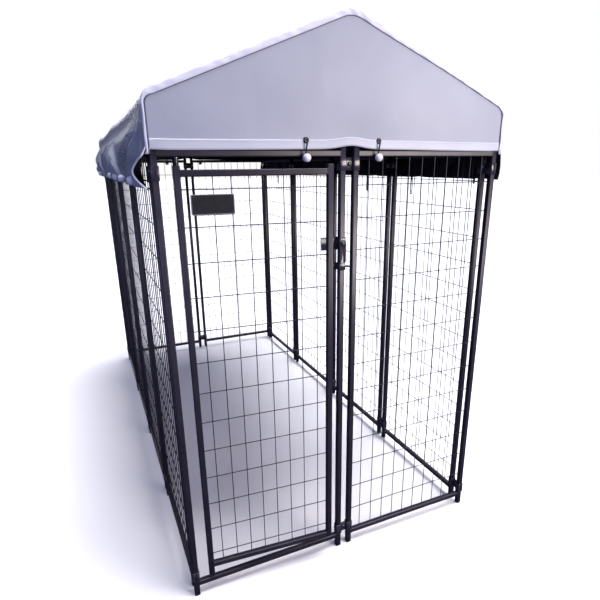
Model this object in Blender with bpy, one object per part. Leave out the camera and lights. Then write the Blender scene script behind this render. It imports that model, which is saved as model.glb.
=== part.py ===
"""Welded-wire dog kennel with a hinged door, a turn latch and a peaked fabric roof.

Twelve flat panels of square steel tube and welded wire stand in a rectangle. Neighbouring posts
stand in pairs, and saddle clamps with one bolt hold each pair near the top and near the ground.
The front left panel holds the door. Three bent bows plug into the tops of the posts, a ridge pole
and two eave poles tie them, and a fitted cover hangs over them, held down by ball bungees.

Metres, +Z up. The kennel is laid out with the front faces of its front posts on Y = 0, the door
facing -Y, and the whole is then moved so that the origin lies on the ground below the middle of
its bounding box.
"""

import math

import bmesh
import bpy
from mathutils import Matrix, Vector

# Clearance between two solids that touch
SEAT = 0.0003

# Square tube and panels
TUBE = 0.019
TUBE_WALL = 0.0012
TUBE_CHAMFER = 0.002
RAIL_SETBACK = 0.0003
PANEL_WIDTH = 0.575
POST_GAP = 0.027
LEG_HEIGHT = 0.040
CLEAR_HEIGHT = 1.396
POST_RISE = 0.010
FRONT_PANELS = 2
SIDE_PANELS = 4

# Welded wire
WIRE = 0.003
WIRE_LAYER_GAP = 0.0004
WIRE_SETBACK = 0.0065
WIRE_END_IN_WALL = 0.0006
PITCH_ACROSS = 0.0508
PITCH_UP = 0.1016
LEAST_END_CELL = 0.033

# Door leaf
DOOR_WIDTH = 0.461
DOOR_ABOVE_LOW_RAIL = 0.040
DOOR_BELOW_HIGH_RAIL = 0.032
STILE_RISE = 0.010
DOOR_AJAR = math.radians(4.5)
PIN_PLAY = 0.0003
PIN_COLLAR_RADIUS = 0.0095
PIN_COLLAR_HEIGHT = 0.003
PIN_IN_STILE = 0.030
PIN_SIDES = 12
STILE_END_GAP = 0.001

# Sign plate on the door
SIGN_WIDTH = 0.121
SIGN_HEIGHT = 0.056
SIGN_THICKNESS = 0.0016
SIGN_RIM = 0.0025
SIGN_RIM_RISE = 0.0008
SIGN_CORNER = 0.004
SIGN_FROM_STILE = 0.021
SIGN_TOP_BELOW_RAIL = 0.046

# Saddle clamps
CLAMP_PLATE = 0.0022
CLAMP_HEIGHT = 0.038
CLAMP_LIP_GAP = 0.002
CLAMP_OFF_RAIL = 0.002
CORNER_CLAMP_DROP = 0.020
BOLT_HEAD_RADIUS = 0.006
BOLT_HEAD_HEIGHT = 0.004
BOLT_SIDES = 6

# Turn latch on the post beside the door
LATCH_PLATE = 0.0025
BRACKET_TOP = 1.213
BRACKET_HEIGHT = 0.041
STAPLE_TOP = 1.130
STAPLE_HEIGHT = 0.024
STOP_REACH = 0.018
LEVER_WIDTH = 0.022
LEVER_TAIL = 0.064
LEVER_HEAD_RISE = 0.012
LEVER_RIB = 0.0018
PIVOT_RADIUS = 0.004
PIVOT_HEAD_RADIUS = 0.0065
PIVOT_HEAD_HEIGHT = 0.003
PIVOT_SIDES = 16
STAPLE_RING_RADIUS = 0.0075
STAPLE_RING_WIRE = 0.0018

# Roof poles
POLE_RADIUS = 0.008
POLE_IN_POST = 0.045
EAVE_ABOVE_POST = 0.122
ROOF_RISE = 0.237
EAVE_BEND = 0.050
RIDGE_BEND = 0.090
BEND_STEPS = 4

# Fabric cover
CLOTH = 0.002
COVER_CLEARANCE = 0.002
DRAPE_DROP = 0.096
DRAPE_FLARE = 0.006
FOLD_DEPTH = 0.022
FOLDS_PER_SIDE = 14
STATIONS_PER_FOLD = 2
COVER_EAVE_BEND = 0.040
COVER_RIDGE_BEND = 0.060
COVER_BEND_STEPS = 2
EYELET_RADIUS = 0.006
EYELET_SIDES = 8

# Ball bungees
BALL_RADIUS = 0.0125
BALL_SIDES = 8
BALL_RINGS = 6
CORD_RADIUS = 0.0018
CORD_SIDES = 5
FRONT_BUNGEE_PLACES = (-0.150, 0.095)
SIDE_BUNGEE_SHARES = (0.347, 0.837)
EYELET_ABOVE_HEM = 0.026
BALL_BELOW_RAIL = 0.003
SIDE_EYELET_ABOVE_HEM = 0.014
HANGING_LOOP = 0.085
CORD_BOW = 0.008
CORD_HALF_GAP = 0.0027
LOOP_HALF_SPREAD = 0.0063
CORD_BEHIND_WALL = 0.004
EYELET_CUT = 0.006
BALL_IN_EYELET = 0.0008

# Sizes that follow
RAIL_LOW = LEG_HEIGHT
RAIL_LOW_TOP = RAIL_LOW + TUBE
RAIL_HIGH = RAIL_LOW_TOP + CLEAR_HEIGHT
RAIL_HIGH_TOP = RAIL_HIGH + TUBE
POST_TOP = RAIL_HIGH_TOP + POST_RISE
EAVE_HEIGHT = POST_TOP + EAVE_ABOVE_POST
RIDGE_HEIGHT = EAVE_HEIGHT + ROOF_RISE
JOINT_PITCH = PANEL_WIDTH + POST_GAP
HALF_WIDTH = (FRONT_PANELS * JOINT_PITCH - POST_GAP) / 2
CORNER_STEP = TUBE + POST_GAP
DEPTH = 2 * CORNER_STEP + SIDE_PANELS * JOINT_PITCH - POST_GAP
DOOR_LOW = RAIL_LOW_TOP + DOOR_ABOVE_LOW_RAIL
DOOR_CLEAR_LOW = DOOR_LOW + TUBE
DOOR_HIGH = RAIL_HIGH - DOOR_BELOW_HIGH_RAIL
DOOR_CLEAR_HIGH = DOOR_HIGH - TUBE
DOOR_CLEAR_HEIGHT = DOOR_CLEAR_HIGH - DOOR_CLEAR_LOW
DOOR_CENTRE = -(POST_GAP + PANEL_WIDTH) / 2
HINGE_X = DOOR_CENTRE - DOOR_WIDTH / 2 + TUBE / 2
HINGE_Y = TUBE / 2
COVER_HALF = HALF_WIDTH + CLAMP_PLATE + SEAT + COVER_CLEARANCE
COVER_FRONT = -COVER_CLEARANCE
HEM_Z = RAIL_HIGH_TOP - DRAPE_DROP
GABLE_HEM_Z = RAIL_HIGH_TOP


def clear_scene():
    for thing in list(bpy.data.objects):
        bpy.data.objects.remove(thing, do_unlink=True)


def make_material(name, colour, roughness, metallic):
    material = bpy.data.materials.new(name)
    material.use_nodes = True
    shader = material.node_tree.nodes["Principled BSDF"]
    shader.inputs["Base Color"].default_value = (*colour, 1.0)
    shader.inputs["Roughness"].default_value = roughness
    shader.inputs["Metallic"].default_value = metallic
    return material


def add_mesh_object(name, mesh, material, parent=None, location=(0, 0, 0), turn=0.0):
    """One node: a mesh placed by its location, a turn about Z and its parent."""
    thing = bpy.data.objects.new(name, mesh)
    bpy.context.collection.objects.link(thing)
    thing.location = location
    thing.rotation_euler = (0, 0, turn)
    thing.parent = parent
    if not mesh.materials:
        mesh.materials.append(material)
    return thing


def add_empty(name, location=(0, 0, 0), turn=0.0, parent=None):
    empty = bpy.data.objects.new(name, None)
    bpy.context.collection.objects.link(empty)
    empty.location = location
    empty.rotation_euler = (0, 0, turn)
    empty.parent = parent
    return empty


def mesh_from(bm, name, smooth_angle=None):
    bmesh.ops.recalc_face_normals(bm, faces=bm.faces)
    mesh = bpy.data.meshes.new(name)
    bm.to_mesh(mesh)
    bm.free()
    if smooth_angle is not None:
        mesh.shade_smooth()
        mesh.set_sharp_from_angle(angle=smooth_angle)
    return mesh


def prism(bm, outline, low, high, axis):
    """A solid bar: a closed outline carried along one axis.

    The outline's pairs are (x, y) along Z, (x, z) along Y and (y, z) along X.
    """
    place = {
        "X": lambda a, b, c: (c, a, b),
        "Y": lambda a, b, c: (a, c, b),
        "Z": lambda a, b, c: (a, b, c),
    }[axis]
    base = [bm.verts.new(place(a, b, low)) for a, b in outline]
    face = bm.faces.new(base)
    grown = bmesh.ops.extrude_face_region(bm, geom=[face])["geom"]
    moved = [item for item in grown if isinstance(item, bmesh.types.BMVert)]
    step = Vector(place(0, 0, high - low))
    bmesh.ops.translate(bm, verts=moved, vec=step)


def rectangle(low_a, high_a, low_b, high_b):
    return [(low_a, low_b), (high_a, low_b), (high_a, high_b), (low_a, high_b)]


def chamfered(low_a, high_a, low_b, high_b, cut):
    """A rectangle with its four corners cut."""
    return [
        (low_a + cut, low_b), (high_a - cut, low_b), (high_a, low_b + cut), (high_a, high_b - cut),
        (high_a - cut, high_b), (low_a + cut, high_b), (low_a, high_b - cut), (low_a, low_b + cut),
    ]


def circle(centre_a, centre_b, radius, sides):
    return [
        (centre_a + radius * math.cos(math.tau * k / sides), centre_b + radius * math.sin(math.tau * k / sides))
        for k in range(sides)
    ]


def scratch_object(bm, name):
    thing = bpy.data.objects.new(name, mesh_from(bm, name))
    bpy.context.collection.objects.link(thing)
    thing.hide_render = True
    thing.display_type = "WIRE"
    return thing


def combine(base, tools, name):
    """The mesh that is left when each tool is joined to or cut from the base, in order."""
    for operation, tool in tools:
        cut = base.modifiers.new(operation.title(), "BOOLEAN")
        cut.operation = operation
        cut.solver = "EXACT"
        cut.object = tool
    bpy.context.view_layer.update()
    shape = base.evaluated_get(bpy.context.evaluated_depsgraph_get())
    mesh = bpy.data.meshes.new_from_object(shape)
    mesh.name = name
    for thing in [base] + [tool for _, tool in tools]:
        bpy.data.objects.remove(thing, do_unlink=True)
    return mesh


def rounded_path(corners, radii, steps):
    """Straight runs through the corners, with an arc of its own radius at each inner corner."""
    points = [Vector(corners[0])]
    for before, corner, after, radius in zip(corners, corners[1:], corners[2:], radii):
        corner = Vector(corner)
        back = (Vector(before) - corner).normalized()
        ahead = (Vector(after) - corner).normalized()
        half = back.angle(ahead) / 2
        middle = corner + (back + ahead).normalized() * radius / math.sin(half)
        start = corner + back * radius / math.tan(half) - middle
        end = corner + ahead * radius / math.tan(half) - middle
        sweep = start.angle(end)
        for k in range(steps + 1):
            share = k / steps
            arm = start * math.sin(sweep * (1 - share)) + end * math.sin(sweep * share)
            points.append(middle + arm / math.sin(sweep))
    points.append(Vector(corners[-1]))
    return points


def wire_places(clear, pitch):
    """Distances from one end of a clear length to each wire, centred in it."""
    pitches = int((clear - 2 * LEAST_END_CELL) / pitch)
    margin = (clear - pitches * pitch) / 2
    return [margin + k * pitch for k in range(pitches + 1)]


def row_heights():
    """Heights of the horizontal wires, which line up on the door and on every panel."""
    return [DOOR_CLEAR_LOW + step for step in wire_places(DOOR_CLEAR_HEIGHT, PITCH_UP)]


def tube_frame(width, post_low, post_high, rail_lows, name):
    """Two posts and its rails, hollow, as one welded frame with X from 0 to width."""
    outer = bmesh.new()
    for left in (0.0, width - TUBE):
        prism(outer, chamfered(left, left + TUBE, 0, TUBE, TUBE_CHAMFER), post_low, post_high, "Z")
    rails = bmesh.new()
    set_in = RAIL_SETBACK
    for low in rail_lows:
        shape = rectangle(set_in, TUBE - set_in, low + set_in, low + TUBE - set_in)
        prism(rails, shape, TUBE / 2, width - TUBE / 2, "X")
    bores = bmesh.new()
    wall = TUBE_WALL
    for left in (0.0, width - TUBE):
        hole = rectangle(left + wall, left + TUBE - wall, wall, TUBE - wall)
        prism(bores, hole, post_low - TUBE, post_high + TUBE, "Z")
    rail_bores = bmesh.new()
    for low in rail_lows:
        hole = rectangle(wall + set_in, TUBE - wall - set_in, low + wall + set_in, low + TUBE - wall - set_in)
        prism(rail_bores, hole, TUBE / 2, width - TUBE / 2, "X")
    tools = [
        ("UNION", scratch_object(rails, "rails")),
        ("DIFFERENCE", scratch_object(bores, "post_bores")),
        ("DIFFERENCE", scratch_object(rail_bores, "rail_bores")),
    ]
    return combine(scratch_object(outer, "posts"), tools, name)


def wire_mesh(width, clear_low, clear_high, rows):
    """Vertical wires in one layer and horizontal wires in the next, ends let into the tube walls."""
    bm = bmesh.new()
    reach = WIRE_END_IN_WALL
    clear = width - 2 * TUBE
    front = WIRE_SETBACK
    back = front + WIRE + WIRE_LAYER_GAP
    for step in wire_places(clear, PITCH_ACROSS):
        left = TUBE + step - WIRE / 2
        shape = rectangle(left, left + WIRE, front, front + WIRE)
        prism(bm, shape, clear_low - reach, clear_high + reach, "Z")
    for height in rows:
        shape = rectangle(back, back + WIRE, height - WIRE / 2, height + WIRE / 2)
        prism(bm, shape, TUBE - reach, width - TUBE + reach, "X")
    return bm


def with_wires(frame_mesh, wires, name):
    """The frame with its wires welded in."""
    base = bpy.data.objects.new("frame", frame_mesh)
    bpy.context.collection.objects.link(base)
    return combine(base, [("UNION", scratch_object(wires, "wires"))], name)


def panel_meshes():
    frame = tube_frame(PANEL_WIDTH, 0.0, POST_TOP, (RAIL_LOW, RAIL_HIGH), "door_frame")
    set_in = RAIL_SETBACK
    wires = wire_mesh(PANEL_WIDTH, RAIL_LOW_TOP - set_in, RAIL_HIGH + set_in, row_heights())
    return frame, with_wires(frame.copy(), wires, "panel")


def add_panels(steel, root):
    open_frame, panel = panel_meshes()
    left = -HALF_WIDTH
    add_mesh_object("front_door_frame", open_frame, steel, root, (left, 0, 0))
    add_mesh_object("front_panel", panel, steel, root, (left + JOINT_PITCH, 0, 0))
    for k in range(FRONT_PANELS):
        right_end = HALF_WIDTH - k * JOINT_PITCH
        add_mesh_object(f"back_panel_{k + 1}", panel, steel, root, (right_end, DEPTH, 0), math.pi)
    for k in range(SIDE_PANELS):
        start = CORNER_STEP + k * JOINT_PITCH
        place = (-HALF_WIDTH, start + PANEL_WIDTH, 0)
        add_mesh_object(f"left_panel_{k + 1}", panel, steel, root, place, -math.pi / 2)
        add_mesh_object(f"right_panel_{k + 1}", panel, steel, root, (HALF_WIDTH, start, 0), math.pi / 2)


def clamp_outline():
    """Section through two bolted saddle halves round a pair of posts, U along the pair."""
    pocket_in = POST_GAP / 2 - SEAT
    pocket_out = POST_GAP / 2 + TUBE + SEAT
    deep = TUBE / 2 + SEAT
    plate = CLAMP_PLATE
    right = [
        (pocket_in - plate, -plate), (pocket_in - plate, -deep - plate), (pocket_out + plate, -deep - plate),
        (pocket_out + plate, -CLAMP_LIP_GAP), (pocket_out, -CLAMP_LIP_GAP), (pocket_out, -deep),
        (pocket_in, -deep), (pocket_in, deep), (pocket_out, deep),
        (pocket_out, CLAMP_LIP_GAP), (pocket_out + plate, CLAMP_LIP_GAP), (pocket_out + plate, deep + plate),
        (pocket_in - plate, deep + plate), (pocket_in - plate, plate),
    ]
    return right + [(-a, -b) for a, b in right]


def clamp_mesh():
    """A saddle clamp with its middle bolt, centred on the pair and standing on Z = 0."""
    body = bmesh.new()
    prism(body, clamp_outline(), 0.0, CLAMP_HEIGHT, "Z")
    bolt = bmesh.new()
    reach = CLAMP_PLATE + BOLT_HEAD_HEIGHT
    prism(bolt, circle(0, CLAMP_HEIGHT / 2, BOLT_HEAD_RADIUS, BOLT_SIDES), -reach, reach, "Y")
    return combine(scratch_object(body, "saddle"), [("UNION", scratch_object(bolt, "bolt"))], "clamp")


def joint_places():
    """Each pair of posts: its name, its middle, the turn of its clamp and its drop at the top."""
    inset = TUBE / 2
    side_x = HALF_WIDTH - inset
    quarter = math.pi / 2
    places = [("front", (0, inset), 0, 0), ("back", (0, DEPTH - inset), 0, 0)]
    for side, x in (("left", -side_x), ("right", side_x)):
        corner = CORNER_STEP - POST_GAP / 2
        places.append((f"{side}_front", (x, corner), quarter, CORNER_CLAMP_DROP))
        for k in range(1, SIDE_PANELS):
            places.append((f"{side}_{k}", (x, corner + k * JOINT_PITCH), quarter, 0))
        places.append((f"{side}_back", (x, DEPTH - corner), quarter, CORNER_CLAMP_DROP))
    return places


def add_clamps(steel, root):
    mesh = clamp_mesh()
    for name, (x, y), turn, drop in joint_places():
        high = RAIL_HIGH - CLAMP_OFF_RAIL - CLAMP_HEIGHT - drop
        add_mesh_object(f"clamp_{name}_top", mesh, steel, root, (x, y, high), turn)
        add_mesh_object(f"clamp_{name}_bottom", mesh, steel, root, (x, y, RAIL_LOW_TOP + CLAMP_OFF_RAIL), turn)


def stile_low():
    return RAIL_LOW_TOP + SEAT + PIN_COLLAR_HEIGHT + STILE_END_GAP


def leaf_mesh():
    """The door leaf: the hinge stile runs on down to its pin, and both stiles rise past the top rail."""
    frame = tube_frame(DOOR_WIDTH, DOOR_LOW, DOOR_HIGH + STILE_RISE, (DOOR_LOW, DOOR_CLEAR_HIGH), "leaf_frame")
    tail = bmesh.new()
    prism(tail, chamfered(0, TUBE, 0, TUBE, TUBE_CHAMFER), stile_low(), DOOR_LOW + SEAT, "Z")
    tail_bore = bmesh.new()
    wall = TUBE_WALL
    prism(tail_bore, rectangle(wall, TUBE - wall, wall, TUBE - wall), stile_low() - TUBE, DOOR_LOW + TUBE, "Z")
    base = bpy.data.objects.new("leaf", frame)
    bpy.context.collection.objects.link(base)
    set_in = RAIL_SETBACK
    wires = wire_mesh(DOOR_WIDTH, DOOR_CLEAR_LOW - set_in, DOOR_CLEAR_HIGH + set_in, row_heights())
    tools = [
        ("UNION", scratch_object(tail, "stile_tail")),
        ("DIFFERENCE", scratch_object(tail_bore, "tail_bore")),
        ("UNION", scratch_object(wires, "leaf_wires")),
    ]
    return combine(base, tools, "door_leaf")


def sign_mesh():
    """A thin plate with cut corners and a raised rim, its back on Y = 0."""
    bm = bmesh.new()
    outline = chamfered(0, SIGN_WIDTH, -SIGN_HEIGHT, 0, SIGN_CORNER)
    prism(bm, outline, -SIGN_THICKNESS, 0.0, "Y")
    front = min(bm.faces, key=lambda face: face.calc_center_median().y)
    bmesh.ops.inset_region(bm, faces=[front], thickness=SIGN_RIM, use_even_offset=True)
    bmesh.ops.translate(bm, verts=front.verts, vec=(0, SIGN_RIM_RISE, 0))
    return mesh_from(bm, "sign_plate")


def add_door(steel, plastic, root):
    """The leaf and its sign hang from an empty on the hinge line, which holds the door a little open."""
    hinge = add_empty("door_hinge", (HINGE_X, HINGE_Y, 0), -DOOR_AJAR, root)
    corner = Vector((-TUBE / 2, -TUBE / 2, 0))
    add_mesh_object("door_leaf", leaf_mesh(), steel, hinge, corner)
    sign_at = Vector((TUBE + SIGN_FROM_STILE, WIRE_SETBACK - SEAT, DOOR_CLEAR_HIGH - SIGN_TOP_BELOW_RAIL))
    add_mesh_object("sign_plate", sign_mesh(), plastic, hinge, corner + sign_at)


def pin_mesh(shaft):
    """A hinge pin with a collar: the collar lies on Z = 0 and the shaft stands up from it."""
    bm = bmesh.new()
    radius = TUBE / 2 - TUBE_WALL - PIN_PLAY
    profile = [
        (0, 0), (PIN_COLLAR_RADIUS, 0), (PIN_COLLAR_RADIUS, PIN_COLLAR_HEIGHT),
        (radius, PIN_COLLAR_HEIGHT), (radius, shaft), (0, shaft),
    ]
    verts = [bm.verts.new((a, 0, b)) for a, b in profile]
    edges = [bm.edges.new(pair) for pair in zip(verts, verts[1:])]
    bmesh.ops.spin(bm, geom=verts + edges, cent=(0, 0, 0), axis=(0, 0, 1), angle=math.tau, steps=PIN_SIDES)
    bmesh.ops.remove_doubles(bm, verts=bm.verts, dist=0.00001)
    return mesh_from(bm, "hinge_pin", math.radians(35))


def add_hinge_pins(steel, root):
    low_gap = stile_low() - RAIL_LOW_TOP - SEAT
    add_mesh_object("hinge_pin_bottom", pin_mesh(low_gap + PIN_IN_STILE), steel, root,
                    (HINGE_X, HINGE_Y, RAIL_LOW_TOP - RAIL_SETBACK + SEAT))
    top_gap = RAIL_HIGH - DOOR_HIGH - STILE_RISE
    top_pin = add_mesh_object("hinge_pin_top", pin_mesh(top_gap + PIN_IN_STILE), steel, root,
                              (HINGE_X, HINGE_Y, RAIL_HIGH + RAIL_SETBACK - SEAT))
    top_pin.rotation_euler = (math.pi, 0, 0)


def latch_post_x():
    """Middle of the frame post beside the door."""
    return -(POST_GAP + TUBE) / 2


def strap_outline(reach):
    """A strap bent round a post at the middle of X: front, right side and back, with a tongue behind the door."""
    inner = TUBE / 2 + SEAT
    outer = inner + LATCH_PLATE
    tongue = -TUBE / 2 - reach
    return [
        (-outer, -outer), (outer, -outer), (outer, outer), (tongue, outer), (tongue, inner),
        (inner, inner), (inner, -inner), (-inner, -inner), (-inner, -TUBE / 6), (-outer, -TUBE / 6),
    ]


def add_latch(steel, root):
    """Two straps on the post, a pivot bolt in the upper one and the lever that hangs from it."""
    x = latch_post_x()
    y = TUBE / 2
    door_edge = DOOR_CENTRE + DOOR_WIDTH / 2
    tongue = x - TUBE / 2 - door_edge + STOP_REACH
    bracket = bmesh.new()
    prism(bracket, strap_outline(tongue), 0.0, BRACKET_HEIGHT, "Z")
    low = BRACKET_TOP - BRACKET_HEIGHT
    add_mesh_object("latch_bracket", mesh_from(bracket, "latch_bracket"), steel, root, (x, y, low))

    staple = bmesh.new()
    prism(staple, strap_outline(tongue), 0.0, STAPLE_HEIGHT, "Z")
    ring = bmesh.new()
    bmesh.ops.create_circle(ring, segments=6, radius=STAPLE_RING_WIRE)
    bmesh.ops.rotate(ring, verts=ring.verts, cent=(0, 0, 0), matrix=Matrix.Rotation(math.pi / 2, 3, "X"))
    bmesh.ops.translate(ring, verts=ring.verts, vec=(STAPLE_RING_RADIUS, 0, 0))
    bmesh.ops.spin(ring, geom=ring.verts[:] + ring.edges[:], cent=(0, 0, 0), axis=(0, 0, 1),
                   angle=math.tau, steps=12)
    bmesh.ops.remove_doubles(ring, verts=ring.verts, dist=0.00001)
    side = TUBE / 2 + SEAT + LATCH_PLATE
    at = (side + STAPLE_RING_RADIUS, LATCH_PLATE / 2 - side, STAPLE_HEIGHT / 2)
    bmesh.ops.translate(ring, verts=ring.verts, vec=at)
    mesh = combine(scratch_object(staple, "staple_strap"), [("UNION", scratch_object(ring, "ring"))], "latch_staple")
    add_mesh_object("latch_staple", mesh, steel, root, (x, y, STAPLE_TOP - STAPLE_HEIGHT))

    pivot_z = low + BRACKET_HEIGHT / 2
    bracket_face = -TUBE / 2 - SEAT - LATCH_PLATE
    lever = add_mesh_object("latch_lever", lever_mesh(), steel, None, (0, bracket_face - SEAT, 0))
    pivot = add_empty("latch_pivot_axis", (x, y, pivot_z), 0.0, root)
    lever.parent = pivot
    add_mesh_object("latch_pivot_bolt", pivot_mesh(), steel, root, (x, y + bracket_face - SEAT, pivot_z))


def lever_mesh():
    """A pressed lever plate: round head on the pivot, ribbed edges, tail hanging down."""
    bm = bmesh.new()
    half = LEVER_WIDTH / 2
    head = [
        (half * math.cos(math.pi * k / 6), LEVER_HEAD_RISE - half + half * math.sin(math.pi * k / 6))
        for k in range(7)
    ]
    tail = [(-half, -LEVER_TAIL + half), (-half / 2, -LEVER_TAIL), (half / 2, -LEVER_TAIL), (half, -LEVER_TAIL + half)]
    prism(bm, head + tail, -LATCH_PLATE, 0.0, "Y")
    front = min(bm.faces, key=lambda face: face.calc_center_median().y)
    bmesh.ops.inset_region(bm, faces=[front], thickness=LATCH_PLATE, use_even_offset=True)
    bmesh.ops.translate(bm, verts=front.verts, vec=(0, LEVER_RIB / 2, 0))
    hole = bmesh.new()
    prism(hole, circle(0, 0, PIVOT_RADIUS + SEAT, PIVOT_SIDES), -4 * LATCH_PLATE, LATCH_PLATE, "Y")
    return combine(scratch_object(bm, "lever"), [("DIFFERENCE", scratch_object(hole, "lever_hole"))], "latch_lever")


def pivot_mesh():
    """A shoulder bolt: its end on Y = 0 against the bracket, its head in front of the lever."""
    bm = bmesh.new()
    shoulder = LATCH_PLATE + 2 * SEAT
    profile = [
        (0, 0), (PIVOT_RADIUS, 0), (PIVOT_RADIUS, shoulder), (PIVOT_HEAD_RADIUS, shoulder),
        (PIVOT_HEAD_RADIUS * 0.7, shoulder + PIVOT_HEAD_HEIGHT), (0, shoulder + PIVOT_HEAD_HEIGHT),
    ]
    verts = [bm.verts.new((a, -b, 0)) for a, b in profile]
    edges = [bm.edges.new(pair) for pair in zip(verts, verts[1:])]
    bmesh.ops.spin(bm, geom=verts + edges, cent=(0, 0, 0), axis=(0, 1, 0), angle=math.tau, steps=PIVOT_SIDES)
    bmesh.ops.remove_doubles(bm, verts=bm.verts, dist=0.00001)
    return mesh_from(bm, "latch_pivot_bolt", math.radians(35))


def add_pole(name, points, radius, material, parent, location=(0, 0, 0)):
    """A round pole along points, with filled ends."""
    curve = bpy.data.curves.new(name, "CURVE")
    curve.dimensions = "3D"
    curve.bevel_depth = radius
    curve.bevel_resolution = 2
    curve.use_fill_caps = True
    spline = curve.splines.new("POLY")
    spline.points.add(len(points) - 1)
    for point, place in zip(spline.points, points):
        point.co = (*place, 1.0)
    curve.materials.append(material)
    pole = bpy.data.objects.new(name, curve)
    bpy.context.collection.objects.link(pole)
    pole.location = location
    pole.parent = parent
    return pole


def bow_path():
    x = HALF_WIDTH - TUBE / 2
    foot = POST_TOP - POLE_IN_POST
    corners = [(-x, 0, foot), (-x, 0, EAVE_HEIGHT), (0, 0, RIDGE_HEIGHT), (x, 0, EAVE_HEIGHT), (x, 0, foot)]
    return rounded_path(corners, (EAVE_BEND, RIDGE_BEND, EAVE_BEND), BEND_STEPS)


def roof_slope():
    return math.atan2(RIDGE_HEIGHT - EAVE_HEIGHT, HALF_WIDTH - TUBE / 2)


def under_bow(x):
    """Height of a pole that lies under the bows' slopes at this distance from the middle."""
    straight = RIDGE_HEIGHT - x * math.tan(roof_slope())
    return straight - (2 * POLE_RADIUS + SEAT) / math.cos(roof_slope())


def add_roof_poles(steel, root):
    inset = TUBE / 2
    middle = CORNER_STEP - POST_GAP / 2 + (SIDE_PANELS // 2) * JOINT_PITCH - POST_GAP / 2 - inset
    for name, y in (("front", inset), ("middle", middle), ("back", DEPTH - inset)):
        add_pole(f"roof_bow_{name}", bow_path(), POLE_RADIUS, steel, root, (0, y, 0))
    ends = (inset - POLE_RADIUS, DEPTH - inset + POLE_RADIUS)
    ridge_rise = RIDGE_BEND / math.cos(roof_slope()) - RIDGE_BEND
    ridge_z = RIDGE_HEIGHT - ridge_rise - 2 * POLE_RADIUS - SEAT
    eave_x = HALF_WIDTH - TUBE / 2 - EAVE_BEND - POLE_RADIUS
    for name, x, z in (
        ("ridge_pole", 0, ridge_z), ("eave_pole_left", -eave_x, under_bow(eave_x)),
        ("eave_pole_right", eave_x, under_bow(eave_x)),
    ):
        add_pole(name, [(x, ends[0], z), (x, ends[1], z)], POLE_RADIUS, steel, root)


def cover_half_section():
    """Outer skin from the hem up to the ridge at X >= 0: (x, z, looseness) at each row."""
    half = COVER_HALF + CLOTH
    lift = (POLE_RADIUS + SEAT + CLOTH) / math.cos(roof_slope())
    ridge = RIDGE_HEIGHT + lift
    eave = ridge - half * math.tan(roof_slope())
    rows = [(HEM_Z, 1.0), (HEM_Z + DRAPE_DROP / 3, 0.95), (HEM_Z + DRAPE_DROP * 2 / 3, 0.75), (GABLE_HEM_Z, 0.5)]
    rows.append((GABLE_HEM_Z + DRAPE_DROP / 2, 0.15))
    section = [(half, z, loose) for z, loose in rows]
    corners = [(half, 0, GABLE_HEM_Z + DRAPE_DROP / 2), (half, 0, eave), (0, 0, ridge), (-half, 0, eave)]
    bend = rounded_path(corners, (COVER_EAVE_BEND, COVER_RIDGE_BEND), COVER_BEND_STEPS)
    bend = [point for point in bend[1:-1] if point.x > -SEAT]
    return section + [(point.x, point.z, 0.0) for point in bend]


def fold_reach(station):
    """How far the hem stands out from the wall line at a station along the side."""
    return DRAPE_FLARE + FOLD_DEPTH * (0.5 + 0.5 * math.cos(math.tau * station / STATIONS_PER_FOLD))


def hem_reach(y):
    """The same at any place, read straight between its two stations."""
    front = COVER_FRONT - CLOTH
    place = (y - front) / (DEPTH - 2 * front) * FOLDS_PER_SIDE * STATIONS_PER_FOLD
    station = int(place)
    share = place - station
    return fold_reach(station) * (1 - share) + fold_reach(station + 1) * share


def cover_skin():
    """The sheet across the roof and both drapes, closed by a gable wall at each end."""
    half = cover_half_section()
    crown = [row for row in half if row[0] > 0.001]
    peak = [row for row in half if row[0] <= 0.001]
    section = [(-x, z, loose) for x, z, loose in crown] + peak[:1] + crown[::-1]
    stations = FOLDS_PER_SIDE * STATIONS_PER_FOLD
    front = COVER_FRONT - CLOTH
    back = DEPTH + COVER_CLEARANCE + CLOTH
    bm = bmesh.new()
    grid = []
    for k in range(stations + 1):
        y = front + (back - front) * k / stations
        line = []
        for x, z, loose in section:
            out = loose * fold_reach(k)
            line.append(bm.verts.new((x + math.copysign(out, x), y, z)))
        grid.append(line)
    for near, far in zip(grid, grid[1:]):
        for a, b, c, d in zip(near, near[1:], far[1:], far):
            bm.faces.new((a, b, c, d))
    first = next(k for k, row in enumerate(section) if row[1] >= GABLE_HEM_Z - SEAT)
    for line in (grid[0], grid[-1]):
        bm.faces.new(line[first:len(section) - first])
    return bm


def front_loop(x_place):
    """Ball and route of a front bungee: through the eyelet, round the top rail and back to the ball."""
    near = COVER_FRONT - CLOTH - 2 * CORD_RADIUS
    bend = CORD_RADIUS + SEAT
    far = TUBE - RAIL_SETBACK
    low = RAIL_HIGH + RAIL_SETBACK
    eyelet = GABLE_HEM_Z + EYELET_ABOVE_HEM
    ball_y = RAIL_SETBACK - SEAT - BALL_RADIUS
    ball_z = RAIL_HIGH - BALL_BELOW_RAIL
    strand = x_place - CORD_HALF_GAP
    return (x_place, ball_y, ball_z), [
        (strand, ball_y, ball_z),
        (strand, near, ball_z + BALL_RADIUS + CORD_BOW),
        (x_place, near - CORD_RADIUS, eyelet - CORD_BOW),
        (x_place, near + CORD_RADIUS, eyelet),
        (x_place, TUBE / 4, eyelet),
        (x_place, TUBE / 2 + CORD_BOW, eyelet - CORD_BOW),
        (x_place, far + bend, RAIL_HIGH_TOP),
        (x_place, far + bend, low),
        (x_place, far + bend * math.sin(math.pi / 4), low - bend * math.sin(math.pi / 4)),
        (x_place, far, low - bend),
        (x_place, 0.0, low - bend),
        (x_place, ball_y, ball_z - BALL_RADIUS / 3),
    ]


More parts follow.
